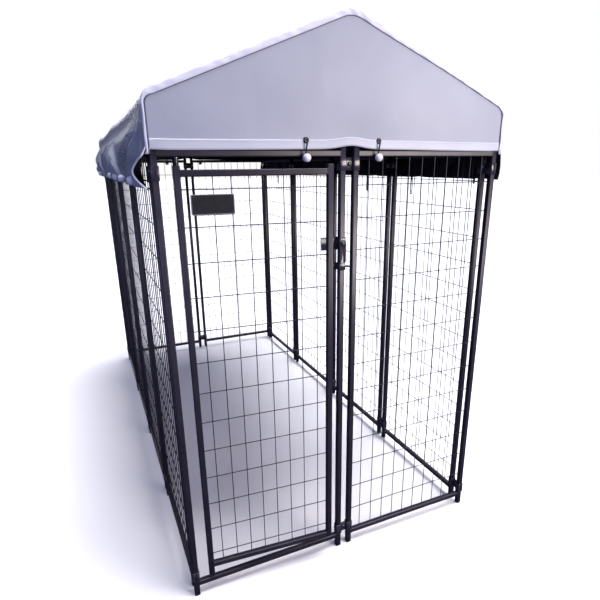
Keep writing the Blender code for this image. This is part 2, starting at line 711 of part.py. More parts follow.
def side_loop(y_place, sign):
    """Ball and route of a side bungee: through the drape and the wire, hanging as a slack loop inside."""
    skin = COVER_HALF + CLOTH + hem_reach(y_place)
    z = HEM_Z + SIDE_EYELET_ABOVE_HEM
    ball_x = skin + BALL_RADIUS - BALL_IN_EYELET
    inside = HALF_WIDTH - TUBE - CORD_BEHIND_WALL
    gap = CORD_HALF_GAP
    spread = LOOP_HALF_SPREAD
    out = [
        (ball_x, gap, z), (skin, gap, z), (HALF_WIDTH, gap, z), (inside + CORD_BOW, gap, z),
        (inside, gap, z - CORD_BOW), (inside, spread * 0.8, z - HANGING_LOOP * 0.5),
        (inside, spread, z - HANGING_LOOP * 0.85), (inside, spread * 0.6, z - HANGING_LOOP * 0.97),
    ]
    back = [(a, -b, c) for a, b, c in reversed(out)]
    route = out + [(inside, 0, z - HANGING_LOOP)] + back
    return (sign * ball_x, y_place, z), [(sign * a, y_place + b, c) for a, b, c in route]


def nearest_cell(place):
    """Middle of the side wall's wire cell that lies nearest to a place along it."""
    columns = wire_places(PANEL_WIDTH - 2 * TUBE, PITCH_ACROSS)
    middles = [
        CORNER_STEP + panel * JOINT_PITCH + TUBE + (low + high) / 2
        for panel in range(SIDE_PANELS) for low, high in zip(columns, columns[1:])
    ]
    return min(middles, key=lambda middle: abs(middle - place))


def bungee_routes():
    """Every ball bungee: its name, its ball's centre and its cord's route."""
    routes = []
    for k, x in enumerate(FRONT_BUNGEE_PLACES):
        centre, route = front_loop(x)
        routes.append((f"bungee_front_{k + 1}", centre, route))
        far = [(a, DEPTH - b, c) for a, b, c in route]
        routes.append((f"bungee_back_{k + 1}", (centre[0], DEPTH - centre[1], centre[2]), far))
    for k, share in enumerate(SIDE_BUNGEE_SHARES):
        y = nearest_cell(share * DEPTH)
        for side, sign in (("left", -1), ("right", 1)):
            centre, route = side_loop(y, sign)
            routes.append((f"bungee_{side}_{k + 1}", centre, route))
    return routes


def tube_mesh(points, radius, sides):
    """A tube along points, its rings square to the way it runs."""
    bm = bmesh.new()
    places = [Vector(point) for point in points]
    rings = []
    up = None
    for k, place in enumerate(places):
        ahead = (places[min(k + 1, len(places) - 1)] - places[max(k - 1, 0)]).normalized()
        if up is None:
            up = ahead.orthogonal().normalized()
        up = (up - ahead * up.dot(ahead)).normalized()
        across = ahead.cross(up)
        ring = []
        for n in range(sides):
            angle = math.tau * n / sides
            ring.append(bm.verts.new(place + radius * (up * math.cos(angle) + across * math.sin(angle))))
        rings.append(ring)
    for ring, after in zip(rings, rings[1:]):
        for n in range(sides):
            m = (n + 1) % sides
            bm.faces.new((ring[n], ring[m], after[m], after[n]))
    bm.faces.new(rings[0])
    bm.faces.new(rings[-1])
    return bm


def add_bungees(rubber, root):
    for name, centre, route in bungee_routes():
        ball = bmesh.new()
        bmesh.ops.create_uvsphere(ball, u_segments=BALL_SIDES, v_segments=BALL_RINGS, radius=BALL_RADIUS,
                                  matrix=Matrix.Translation(centre))
        cord = scratch_object(tube_mesh(route, CORD_RADIUS, CORD_SIDES), "cord")
        mesh = combine(scratch_object(ball, "ball"), [("UNION", cord)], name)
        mesh.shade_smooth()
        add_mesh_object(name, mesh, rubber, root)


def eyelet_cutters():
    """A bar through the cover at each bungee, along Y at the gables and along X at the drapes."""
    bm = bmesh.new()
    for name, centre, route in bungee_routes():
        if "front" in name or "back" in name:
            height = GABLE_HEM_Z + EYELET_ABOVE_HEM
            middle = COVER_FRONT if "front" in name else DEPTH + COVER_CLEARANCE
            prism(bm, circle(centre[0], height, EYELET_RADIUS, EYELET_SIDES), middle - EYELET_CUT, middle + EYELET_CUT, "Y")
        else:
            low, high = sorted((math.copysign(HALF_WIDTH + SEAT, centre[0]), centre[0]))
            prism(bm, circle(centre[1], centre[2], EYELET_RADIUS, EYELET_SIDES), low, high, "X")
    return bm


def add_cover(fabric, root):
    skin = mesh_from(cover_skin(), "roof_cover")
    base = bpy.data.objects.new("skin", skin)
    bpy.context.collection.objects.link(base)
    wall = base.modifiers.new("Cloth", "SOLIDIFY")
    wall.thickness = CLOTH
    wall.offset = -1.0
    wall.use_even_offset = True
    mesh = combine(base, [("DIFFERENCE", scratch_object(eyelet_cutters(), "eyelets"))], "roof_cover")
    add_mesh_object("roof_cover", mesh, fabric, root)


def origin_shift():
    """Distance from the front face to the middle of the bounding box, which reaches to the ajar door."""
    reach = DOOR_WIDTH - TUBE / 2
    door_front = HINGE_Y - reach * math.sin(DOOR_AJAR) - TUBE / 2 * math.cos(DOOR_AJAR)
    back = DEPTH - RAIL_SETBACK + SEAT + 2 * BALL_RADIUS
    return (door_front + back) / 2


def main():
    clear_scene()
    steel = make_material("powder_coated_steel", (0.035, 0.033, 0.040), 0.45, 0.0)
    plastic = make_material("black_sign_plastic", (0.012, 0.011, 0.010), 0.5, 0.0)
    fabric = make_material("silver_cover_fabric", (0.42, 0.45, 0.58), 0.6, 0.0)
    rubber = make_material("pearl_ball_and_cord", (0.75, 0.75, 0.78), 0.35, 0.0)
    root = add_empty("kennel", (0, -origin_shift(), 0))
    add_panels(steel, root)
    add_clamps(steel, root)
    add_door(steel, plastic, root)
    add_hinge_pins(steel, root)
    add_latch(steel, root)
    add_roof_poles(steel, root)
    add_cover(fabric, root)
    add_bungees(rubber, root)


main()
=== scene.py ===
"""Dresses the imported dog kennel: wire panels, door, clamps, latch, roof poles, cover and bungees.

Everything is in metres. A piece is worked out in the kennel's own coordinates, with the front faces
of the front posts on Y = 0 and the ground at Z = 0, and is then moved along Y into the frame.
"""

import logging
import math
from collections.abc import Sequence
from dataclasses import dataclass, field
from enum import Enum

import bmesh
import bpy
import numpy as np
from mathutils import Matrix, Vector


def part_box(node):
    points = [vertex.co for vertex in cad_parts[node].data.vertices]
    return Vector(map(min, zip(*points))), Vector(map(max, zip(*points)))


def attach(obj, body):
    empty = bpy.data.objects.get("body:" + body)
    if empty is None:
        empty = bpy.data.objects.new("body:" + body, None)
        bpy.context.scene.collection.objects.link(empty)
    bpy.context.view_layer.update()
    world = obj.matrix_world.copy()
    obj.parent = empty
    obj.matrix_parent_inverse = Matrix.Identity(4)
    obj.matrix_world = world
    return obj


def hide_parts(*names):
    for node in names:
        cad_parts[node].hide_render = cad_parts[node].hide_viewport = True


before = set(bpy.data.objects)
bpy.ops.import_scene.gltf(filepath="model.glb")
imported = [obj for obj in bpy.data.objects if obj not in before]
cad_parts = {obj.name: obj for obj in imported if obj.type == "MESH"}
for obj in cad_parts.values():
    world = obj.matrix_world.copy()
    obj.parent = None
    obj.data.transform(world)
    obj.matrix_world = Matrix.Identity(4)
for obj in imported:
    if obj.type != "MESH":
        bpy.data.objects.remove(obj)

Array = np.ndarray
Place = tuple[float, float, float]
Pair = tuple[float, float]
Pairs = Sequence[Pair]
Piece = bpy.types.Object
Material = bpy.types.Material
NodeTree = bpy.types.NodeTree
Node = bpy.types.Node
Socket = bpy.types.NodeSocket

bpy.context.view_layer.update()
FRONT_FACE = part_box("front_panel")[0].y
LOG = logging.getLogger("kennel")


class Body(Enum):
    """The moving bodies that a piece can ride on."""
    KENNEL = "kennel"
    DOOR = "door"
    LATCH = "latch"


class Side(Enum):
    """Left or right wall, with the sign of its X."""
    LEFT = -1
    RIGHT = 1


class End(Enum):
    """Front or back of the kennel, with the sign of its Y."""
    FRONT = -1
    BACK = 1


class Axis(Enum):
    """The axis that a straight bar runs along; its outline's pairs are the other two in order."""
    X = 0
    Y = 1
    Z = 2


@dataclass(frozen=True)
class Layout:
    """Sizes that several sub-assemblies share.

    Seat is the air between fitted steel parts, and sunk is how deep a fastener's foot is let into
    what it lies on.
    """
    tube: float = 0.019
    tube_wall: float = 0.0012
    tube_corner: float = 0.0030
    rail_inset: float = 0.0003
    panel_width: float = 0.575
    post_gap: float = 0.027
    rail_low: float = 0.040
    rail_high: float = 1.455
    post_top: float = 1.484
    half_width: float = 0.5885
    corner_step: float = 0.046
    joint_pitch: float = 0.602
    depth: float = 2.473
    side_panels: int = 4
    wire: float = 0.003
    wire_front: float = 0.0080
    wire_back: float = 0.0114
    pitch_across: float = 0.0508
    pitch_up: float = 0.1016
    first_row: float = 0.1514
    rows: int = 13
    eave_height: float = 1.606
    ridge_height: float = 1.843
    pole: float = 0.008
    cover_half: float = 0.5950
    cover_face: float = 0.0040
    eyelet_rise: float = 0.026
    seat: float = 0.0003
    sunk: float = 0.0002

    @property
    def low_rail_top(self) -> float:
        """Top face of the bottom rail."""
        return self.rail_low + self.tube

    @property
    def high_rail_top(self) -> float:
        """Top face of the top rail, where the gable's hem ends."""
        return self.rail_high + self.tube

    @property
    def post_line(self) -> float:
        """Distance of a corner post's middle from the kennel's middle."""
        return self.half_width - self.tube / 2

    @property
    def slope(self) -> float:
        """Slope of the roof, in radians."""
        return math.atan2(self.ridge_height - self.eave_height, self.post_line)

    @property
    def bow_places(self) -> Place:
        """Where the three roof bows stand along the kennel."""
        middle = self.corner_step + 2 * self.joint_pitch - self.post_gap - self.tube / 2
        return self.tube / 2, middle, self.depth - self.tube / 2


SIZES = Layout()
QUARTER_TURNS = [np.array([[c, s], [-s, c]]) for c, s in ((1, 0), (0, 1), (-1, 0), (0, -1))]


def word(choice: Enum) -> str:
    """A choice's name in small letters, as nodes and pieces have it."""
    return choice.name.lower()


def unit(vectors: Array) -> Array:
    """Each vector divided by its length."""
    return vectors / np.maximum(np.linalg.norm(vectors, axis=-1, keepdims=True), 1e-12)


def smooth_step(low: float, high: float, value: Array) -> Array:
    """Rises from 0 at low to 1 at high as 3 t^2 - 2 t^3."""
    share = np.clip((np.asarray(value, float) - low) / (high - low), 0.0, 1.0)
    return share * share * (3 - 2 * share)


def circle(radius: float, sides: int) -> Array:
    """Counter-clockwise points radius * (cos a, sin a)."""
    turn = np.arange(sides) * math.tau / sides
    return radius * np.stack([np.cos(turn), np.sin(turn)], axis=1)


def layers(axis: Axis, rows: list[tuple[float, Array]]) -> Array:
    """Flat outlines, each set at its place along an axis, as the rows of a grid."""
    return np.stack([np.insert(flat, axis.value, place, axis=1) for place, flat in rows])


def crossings(*lines: Array) -> Array:
    """A grid of every combination of the places on two or three lines."""
    return np.stack(np.meshgrid(*lines, indexing="ij"), axis=-1)


def beside(outline: Array) -> Array:
    """Unit vectors to the left of a closed flat outline, square to its chord at each point."""
    ahead = unit(np.roll(outline, -1, axis=0) - np.roll(outline, 1, axis=0))
    return np.stack([-ahead[:, 1], ahead[:, 0]], axis=1)


def rounded_square(half: float, radius: float, steps: int) -> Array:
    """A square outline with round corners, counter-clockwise.

    Each corner is centre + radius * (cos a, sin a) over a quarter turn, with one more point on the
    flat beside each end of the arc so that the flat shades flat.

    Args:
        half: half of the square's side.
        radius: radius of its corners.
        steps: parts that each arc is cut into.

    Returns:
        Points of shape (4 * (steps + 3), 2).
    """
    turn = np.linspace(0.0, math.pi / 2, steps + 1)
    corner = half - radius
    arc = np.stack([corner + radius * np.cos(turn), corner + radius * np.sin(turn)], axis=1)
    guard = corner - 0.3 * radius
    quarter = np.vstack([[half, guard], arc, [guard, half]])
    return np.vstack([quarter @ turn_by for turn_by in QUARTER_TURNS])


def rounded_path(corners: Array, radii: tuple[float, ...], steps: int) -> Array:
    """Straight runs through corners, each inner corner an arc tangent to both runs.

    The arc's centre lies on the bisector at radius / sin(half the angle) from the corner, and its
    points are turned from one tangent point to the other by slerp.

    Args:
        corners: points of shape (n, 3).
        radii: one radius for each inner corner.
        steps: parts that each arc is cut into.

    Returns:
        Points along the path, of shape (m, 3).
    """
    corners = np.asarray(corners, float)
    pieces = [corners[:1]]
    for before, corner, after, radius in zip(corners, corners[1:], corners[2:], radii):
        back = unit(before - corner)
        ahead = unit(after - corner)
        half = math.acos(float(np.clip(back @ ahead, -1, 1))) / 2
        middle = corner + unit(back + ahead) * radius / math.sin(half)
        start = corner + back * radius / math.tan(half) - middle
        end = corner + ahead * radius / math.tan(half) - middle
        sweep = math.pi - 2 * half
        share = np.linspace(0.0, 1.0, steps + 1)[:, None]
        arms = (start * np.sin(sweep * (1 - share)) + end * np.sin(sweep * share)) / math.sin(sweep)
        pieces.append(middle + arms)
    pieces.append(corners[-1:])
    return np.vstack(pieces)


def flowing(points: Array, between: int) -> Array:
    """A smooth line through points by the Catmull-Rom formula.

    Each span is 0.5 * (2 b + (c - a) t + (2 a - 5 b + 4 c - d) t^2 + (3 b - a - 3 c + d) t^3).

    Args:
        points: the points to pass, of shape (n, 3).
        between: parts that each span is cut into.

    Returns:
        Points along the line.
    """
    padded = np.vstack([2 * points[0] - points[1], points, 2 * points[-1] - points[-2]])[:, None]
    a, b, c, d = padded[:-3], padded[1:-2], padded[2:-1], padded[3:]
    t = (np.arange(between) / between)[None, :, None]
    line = 0.5 * (2 * b + (c - a) * t + (2 * a - 5 * b + 4 * c - d) * t ** 2
                  + (3 * b - a - 3 * c + d) * t ** 3)
    return np.vstack([line.reshape(-1, 3), points[-1:]])


def carried(outline: Array, path: Array, scale: Array | None = None, closed: bool = False) -> Array:
    """Carries an outline along a path, each ring square to the way the path runs.

    At each station the ring's first axis loses what it has along the path, so that it does not
    twist.

    Args:
        outline: points of shape (n, 2).
        path: stations of shape (m, 3).
        scale: size of the outline at each station.
        closed: whether the path leads back to its start.

    Returns:
        Rings of shape (m, n, 3).
    """
    if closed:
        ahead = unit(np.roll(path, -1, axis=0) - np.roll(path, 1, axis=0))
    else:
        ahead = unit(np.gradient(path, axis=0))
    rise = np.empty_like(path)
    current = np.eye(3)[int(np.argmin(np.abs(ahead[0])))]
    for station, way in enumerate(ahead):
        current = unit(current - way * (current @ way))
        rise[station] = current
    across = np.cross(ahead, rise)
    size = np.ones(len(path)) if scale is None else np.asarray(scale, float)
    flat = outline[None] * size[:, None, None]
    return path[:, None] + flat[..., :1] * rise[:, None] + flat[..., 1:] * across[:, None]


def straight(outline: Array, stations: Pairs, axis: Axis, centre: Pair = (0.0, 0.0)) -> Array:
    """A straight bar: the outline about its centre, scaled at each station along an axis.

    Args:
        outline: points of shape (n, 2).
        stations: (place along the axis, scale of the outline) for each ring.
        axis: the axis that the bar runs along.
        centre: the outline's centre in the other two axes.

    Returns:
        Rings of shape (m, n, 3).
    """
    along, scale = np.array(stations, float).T
    flat = outline[None] * scale[:, None, None] + np.asarray(centre)
    return np.insert(flat, axis.value, np.broadcast_to(along[:, None], flat.shape[:2]), axis=2)


def turned(profile: Pairs, sides: int, axis: Axis, centre: Place = (0.0, 0.0, 0.0)) -> Array:
    """A lathed form: (radius, place along the axis) pairs swept through a full turn.

    Args:
        profile: pairs from one end to the other; the ends are closed by the caller's caps.
        sides: points round the axis.
        axis: the axis of the lathe.
        centre: where the axis' zero stands.

    Returns:
        Rings of shape (m, sides, 3).
    """
    stations = [(place, max(radius, 0.00002)) for radius, place in profile]
    return straight(circle(1.0, sides), stations, axis) + np.asarray(centre)


class Shell:
    """Gathers grids of points, with their faces, finishes and cloth coordinates, into one mesh."""

    def __init__(self) -> None:
        """Starts with nothing in it."""
        self.points: list[Array] = []
        self.weave: list[Array] = []
        self.faces: list[list[int]] = []
        self.finish: list[int] = []
        self.count = 0

    def grid(self, points: Array, around: bool = True, loop: bool = False, ends: bool = True,
             finish: int = 0, weave: Array | None = None, places: Array | None = None) -> "Shell":
        """Adds a grid of points, or copies of it.

        Args:
            points: shape (rows, columns, 3).
            around: whether the last column joins the first.
            loop: whether the last row joins the first.
            ends: whether the first and last rows are filled.
            finish: which of the piece's materials it takes.
            weave: cloth coordinates of the points, in metres.
            places: shape (k, 3); one copy is added at each.

        Returns:
            The shell itself.
        """
        rows, columns = points.shape[:2]
        places = np.zeros((1, 3)) if places is None else np.asarray(places, float).reshape(-1, 3)
        size = rows * columns
        row = np.arange(rows if loop else rows - 1)[:, None] * columns
        column = np.arange(columns if around else columns - 1)[None]
        after, beside = (row + columns) % size, (column + 1) % columns
        corners = (row + column, row + beside, after + beside, after + column)
        quads = np.stack(corners, axis=-1).reshape(-1, 4)
        offsets = self.count + size * np.arange(len(places))
        many = (quads[None] + offsets[:, None, None]).reshape(-1, 4).tolist()
        if ends and not loop:
            first = np.arange(columns)[::-1][None] + offsets[:, None]
            last = np.arange(size - columns, size)[None] + offsets[:, None]
            many += first.tolist() + last.tolist()
        self.faces += many
        self.finish += [finish] * len(many)
        self.points.append((points.reshape(1, -1, 3) + places[:, None]).reshape(-1, 3))
        flat = np.zeros((size, 2)) if weave is None else weave.reshape(-1, 2)
        self.weave.append(np.tile(flat, (len(places), 1)))
        self.count += size * len(places)
        return self

    def mesh(self, name: str, move: "Spot", recalculate: bool, sharp: float) -> bpy.types.Mesh:
        """Makes the mesh, with its faces outwards and its edges sharp past an angle.

        Args:
            name: the mesh's name.
            move: where the points' own axes stand in the kennel.
            recalculate: whether closed forms have their normals turned outwards.
            sharp: angle between faces, in degrees, past which an edge shades sharp.

        Returns:
            The new mesh.
        """
        mesh = bpy.data.meshes.new(name)
        mesh.from_pydata(move.carry(np.vstack(self.points)).tolist(), [], self.faces)
        mesh.polygons.foreach_set("material_index", self.finish)
        corner = np.empty(len(mesh.loops), dtype=np.int32)
        mesh.loops.foreach_get("vertex_index", corner)
        layer = mesh.uv_layers.new(name="weave")
        layer.data.foreach_set("uv", np.vstack(self.weave)[corner].astype(np.float32).ravel())
        if recalculate:
            tidy = bmesh.new()
            tidy.from_mesh(mesh)
            bmesh.ops.recalc_face_normals(tidy, faces=tidy.faces)
            tidy.to_mesh(mesh)
            tidy.free()
        mesh.shade_smooth()
        mesh.set_sharp_from_angle(angle=math.radians(sharp))
        return mesh


@dataclass(frozen=True)
class Spot:
    """Where a part's own axes stand in the kennel: a place and a turn about the upright."""
    x: float = 0.0
    y: float = 0.0
    z: float = 0.0
    turn: float = 0.0

    def carry(self, points: Array) -> Array:
        """Turns points about Z by (cos, -sin; sin, cos), then moves them into the frame."""
        c, s = math.cos(self.turn), math.sin(self.turn)
        matrix = np.array([[c, -s, 0.0], [s, c, 0.0], [0.0, 0.0, 1.0]])
        return points @ matrix.T + (self.x, self.y + FRONT_FACE, self.z)


HOME = Spot()


def stand(name: str, data: bpy.types.ID) -> Piece:
    """Puts a mesh, light or camera into the scene as an object of a name."""
    item = bpy.data.objects.new(name, data)
    bpy.context.scene.collection.objects.link(item)
    return item


def add_piece(name: str, shell: Shell, finishes: list[Material],
              replaces: tuple[str, ...] = (), spot: Spot = HOME, body: Body = Body.KENNEL,
              recalculate: bool = True, sharp: float = 50.0) -> Piece:
    """Makes a piece of a shell and puts it on its body.

    Args:
        name: the piece's name.
        shell: its points and faces.
        finishes: its materials, in the order of the shell's finish numbers.
        replaces: CAD nodes that it stands for.
        spot: where its own axes stand.
        body: the body that it rides on.
        recalculate: whether its normals are turned outwards.
        sharp: angle in degrees past which an edge shades sharp.

    Returns:
        The new object.
    """
    mesh = shell.mesh(name, spot, recalculate, sharp)
    for finish in finishes:
        mesh.materials.append(finish)
    piece = stand(name, mesh)
    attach(piece, body.value)
    if replaces:
        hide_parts(*replaces)
    LOG.info("%s: %d faces on %s", name, len(mesh.polygons), body.value)
    return piece


def linear(colour: str) -> tuple[float, float, float, float]:
    """Turns an sRGB hex to linear: c / 12.92 below 0.04045, else ((c + 0.055) / 1.055) ^ 2.4."""
    parts = [int(colour.lstrip("#")[k:k + 2], 16) / 255 for k in (0, 2, 4)]
    bent = [c / 12.92 if c <= 0.04045 else ((c + 0.055) / 1.055) ** 2.4 for c in parts]
    return bent[0], bent[1], bent[2], 1.0


def add_node(tree: NodeTree, kind: str, values: dict | None = None, links: dict | None = None,
             **settings: object) -> Node:
    """Adds a shader node with its settings, socket values and links.

    Args:
        tree: the material's or world's node tree.
        kind: the node's type name.
        values: socket values by name or number.
        links: output sockets to join, by the name or number of the input.
        settings: properties of the node itself.

    Returns:
        The new node.
    """
    node = tree.nodes.new(kind)
    for name, value in settings.items():
        setattr(node, name, value)
    for name, value in (values or {}).items():
        node.inputs[name].default_value = value
    for name, socket in (links or {}).items():
        tree.links.new(socket, node.inputs[name])
    return node


@dataclass(frozen=True)
class Graph:
    """A material's node tree, its shader, and the object's and the cloth's own coordinates."""
    tree: NodeTree
    shader: Node
    place: Socket
    cloth: Socket

    def noise(self, size: float, **values: float) -> Socket:
        """Noise of a real size in metres, in Object coordinates, from 0 to 1."""
        return add_node(self.tree, "ShaderNodeTexNoise", {"Scale": 1 / size, **values},
                        {"Vector": self.place}).outputs["Fac"]

    def bands(self, spacing: float, distortion: float, way: str) -> Socket:
        """Sine bands at a real spacing on the cloth; 0.314 is the wave node's own unit."""
        return add_node(self.tree, "ShaderNodeTexWave",
                        {"Scale": 0.314 / spacing, "Distortion": distortion},
                        {"Vector": self.cloth}, bands_direction=way).outputs["Fac"]

    def bump(self, height: Socket, strength: float, depth: float,
             under: Socket | None = None) -> Socket:
        """Adds relief.

        Args:
            height: the pattern that stands up, from 0 to 1.
            strength: its share of the full effect.
            depth: how far it stands up, in metres.
            under: relief that it lies on.

        Returns:
            The bumped normal.
        """
        links = {"Height": height} if under is None else {"Height": height, "Normal": under}
        return add_node(self.tree, "ShaderNodeBump", {"Strength": strength, "Distance": depth},
                        links).outputs["Normal"]

    def join(self, socket: Socket, name: str) -> None:
        """Links a socket to one of the shader's inputs."""
        self.tree.links.new(socket, self.shader.inputs[name])


@dataclass(frozen=True)
class Finish:
    """What every finish has: a name, its two shades, the shader's plain settings and a fine grain.

    The patch, the size of its uneven areas, and the grain are real sizes in metres.
    """
    name: str
    colour: str
    shade: str
    roughness: float = 0.5
    metallic: float = 0.0
    coat: float = 0.0
    coat_roughness: float = 0.25
    sheen: float = 0.0
    patch: float = 0.08
    drift: float = 0.15
    grain: float = 0.0016
    grain_strength: float = 0.15
    grain_depth: float = 0.0002

    def start(self) -> tuple[Material, Graph]:
        """Makes the material with its plain settings, and its coordinates."""
        material = bpy.data.materials.new(self.name)
        material.use_nodes = True
        shader = material.node_tree.nodes["Principled BSDF"]
        for name, value in (("Roughness", self.roughness), ("Metallic", self.metallic),
                            ("Coat Weight", self.coat), ("Coat Roughness", self.coat_roughness),
                            ("Sheen Weight", self.sheen)):
            shader.inputs[name].default_value = value
        ways = add_node(material.node_tree, "ShaderNodeTexCoord").outputs
        return material, Graph(material.node_tree, shader, ways["Object"], ways["UV"])

    def shades(self, graph: Graph) -> Socket:
        """The two shades, mixed in soft patches."""
        patches = graph.noise(self.patch, Detail=3.0)
        ramp = add_node(graph.tree, "ShaderNodeValToRGB", links={"Fac": patches})
        stops = ((0.35, self.shade), (0.65, self.colour))
        for element, (place, colour) in zip(ramp.color_ramp.elements, stops):
            element.position = place
            element.color = linear(colour)
        return ramp.outputs["Color"]

    def colour_in(self, graph: Graph) -> None:
        """The colour: the two shades as they are."""
        graph.join(self.shades(graph), "Base Color")

    def roughness_in(self, graph: Graph) -> None:
        """Roughness that drifts by a share of its value, in patches smaller than the colour's."""
        spread = add_node(graph.tree, "ShaderNodeMapRange",
                          {"To Min": self.roughness * (1 - self.drift),
                           "To Max": min(self.roughness * (1 + self.drift), 1.0)},
                          {"Value": graph.noise(self.patch / 2.3, Detail=4.0)})
        graph.join(spread.outputs["Result"], "Roughness")

    def bump_in(self, graph: Graph) -> None:
        """A fine grain that stands up by the grain's depth."""
        grain = graph.noise(self.grain, Detail=2.0)
        graph.join(graph.bump(grain, self.grain_strength, self.grain_depth), "Normal")

    def material(self) -> Material:
        """The finished material."""
        material, graph = self.start()
        self.colour_in(graph)
        self.roughness_in(graph)
        self.bump_in(graph)
        return material


@dataclass(frozen=True)
class PowderCoat(Finish):
    """Black powder coat baked on steel: half gloss, with the soft orange-peel of flowed powder."""
    grain: float = 0.0022
    grain_strength: float = 0.25
    grain_depth: float = 0.0001
    scuff: str = "#57545c"
    scuff_size: float = 1 / 90
    scuff_share: float = 0.35

    def colour_in(self, graph: Graph) -> None:
        """Two near blacks, with thin paler scuffs where the noise peaks."""
        base = self.shades(graph)
        fine = graph.noise(self.scuff_size, Detail=5.0, Distortion=0.6)
        mask = add_node(graph.tree, "ShaderNodeMapRange",
                        {"From Min": 0.68, "From Max": 0.76, "To Max": self.scuff_share},
                        {"Value": fine})
        worn = add_node(graph.tree, "ShaderNodeMix", {"B": linear(self.scuff)},
                        {"Factor": mask.outputs["Result"], "A": base}, data_type="RGBA")
        graph.join(worn.outputs["Result"], "Base Color")


@dataclass(frozen=True)
class CoatedCloth(Finish):
    """Polyester cloth coated with silver-grey polyurethane: a fine plain weave under a satin film.

    The threads are 0.5 mm apart on the real cloth and drawn 2 mm apart so that they show.
    """
    thread: float = 0.0020
    weave_depth: float = 0.00035
    crease: float = 0.11
    crease_depth: float = 0.0035

    def bump_in(self, graph: Graph) -> None:
        """Soft creases, then warp and weft as two sine bands along the cloth's own coordinates."""
        creases = graph.noise(self.crease, Detail=4.0, Roughness=0.55, Distortion=0.4)
        low = graph.bump(creases, 0.5, self.crease_depth)
        warp, weft = (graph.bands(self.thread, 0.0, way) for way in ("X", "Y"))
        woven = add_node(graph.tree, "ShaderNodeMath", links={0: warp, 1: weft},
                         operation="MULTIPLY")
        graph.join(graph.bump(woven.outputs["Value"], 0.3, self.weave_depth, low), "Normal")


@dataclass(frozen=True)
class BraidedCord(Finish):
    """Elastic cord in a braided polyester jacket: dark, matt, with crossing ridges 2.4 mm apart."""
    braid: float = 0.0024
    braid_depth: float = 0.0004

    def bump_in(self, graph: Graph) -> None:
        """Ridges along the cord's own length coordinate, broken by the wave's own noise."""
        ridges = graph.bands(self.braid, 1.5, "DIAGONAL")
        graph.join(graph.bump(ridges, 0.6, self.braid_depth), "Normal")


def made(finish: Finish) -> Material:
    """A field of the workshop that holds the finish's material."""
    return field(default_factory=finish.material)


@dataclass
class Workshop:
    """Every finish of the kennel, made once."""
    # Powder coat on mild steel tube and wire: near black, half gloss, paler where it has rubbed.
    steel: Material = made(PowderCoat(
        "powder_coated_steel", "#2d2833", "#231f28", roughness=0.36))
    # Electrocoat on pressed steel: smoother and glossier, so that the edges catch the light.
    clamp: Material = made(PowderCoat(
        "e_coated_pressed_steel", "#37323d", "#2b2730", roughness=0.22, coat=0.5, patch=0.02))
    # Black zinc on forged bolts: a dull grey metal shine.
    bolt: Material = made(Finish(
        "black_zinc_bolt", "#5b5a60", "#3c3b40", roughness=0.32, metallic=1.0, patch=0.006,
        grain=0.0008, grain_strength=0.3))
    # Moulded polyethylene: black and waxy.
    foot: Material = made(Finish(
        "moulded_polyethylene_cap", "#1c1b1e", "#151416", roughness=0.55, grain=0.0009))
    # Powder coat on thin round pole: a shade paler than the panels.
    pole: Material = made(PowderCoat(
        "powder_coated_pole", "#34333a", "#2a292f", roughness=0.34, patch=0.05))
    # Silver polyurethane on woven polyester: pale grey, satin, a little dusty at grazing light.
    cloth: Material = made(CoatedCloth(
        "silver_coated_polyester", "#acb1bc", "#a1a6b3", roughness=0.45, sheen=0.1, patch=0.35))
    # Its black back, uncoated: flat and dark.
    lining: Material = made(CoatedCloth(
        "black_polyurethane_lining", "#1b1a18", "#141311", roughness=0.62, patch=0.2))
    # The same cloth doubled at a hem, in a paler shade: a painted highlight where light catches the
    # hem.
    hem: Material = made(CoatedCloth(
        "silver_coated_polyester_doubled", "#c3c7cf", "#b9bdc6", roughness=0.42, sheen=0.1,
        patch=0.25))
    # Woven polyester binding: white and matt, with a coarser weave.
    tape: Material = made(CoatedCloth(
        "white_binding_tape", "#eceef6", "#dfe1ee", roughness=0.6, patch=0.05, thread=0.0018,
        crease_depth=0.001))
    # Spun polyester thread: light grey and matt.
    thread: Material = made(Finish(
        "polyester_sewing_thread", "#c3c6d6", "#b2b5c6", roughness=0.6, patch=0.01, grain=0.0006))
    # Painted shadow: a blue-grey matt strip along the tape's inner edge, where the seam's shade
    # falls.
    seam: Material = made(Finish(
        "painted_seam_shadow", "#5d6078", "#4b4e66", roughness=0.7, patch=0.02, grain=0.0008))
    # Moulded polypropylene with a pearl pigment: bright, under a clear gloss.
    ball: Material = made(Finish(
        "pearl_polypropylene", "#fdfcff", "#f3f1f8", roughness=0.3, coat=1.0, patch=0.02,
        grain=0.004, grain_strength=0.05))
    # Braided polyester over rubber: black and matt.
    cord: Material = made(BraidedCord(
        "braided_elastic_cord", "#1a191b", "#101011", roughness=0.75, patch=0.003))
    # ABS from a spark-eroded mould: black with a fine sandy texture.
    plate: Material = made(Finish(
        "textured_abs_plate", "#0d0c0d", "#090809", roughness=0.68, patch=0.03, grain=0.0007,
        grain_strength=0.5))
    # The plate's rim, polished in the mould, in grey: a painted highlight where it catches the
    # light as a line.
    rim_painted_highlight: Material = made(Finish(
        "polished_abs_rim", "#8b8690", "#7b7681", roughness=0.3, patch=0.03, grain=0.0009))


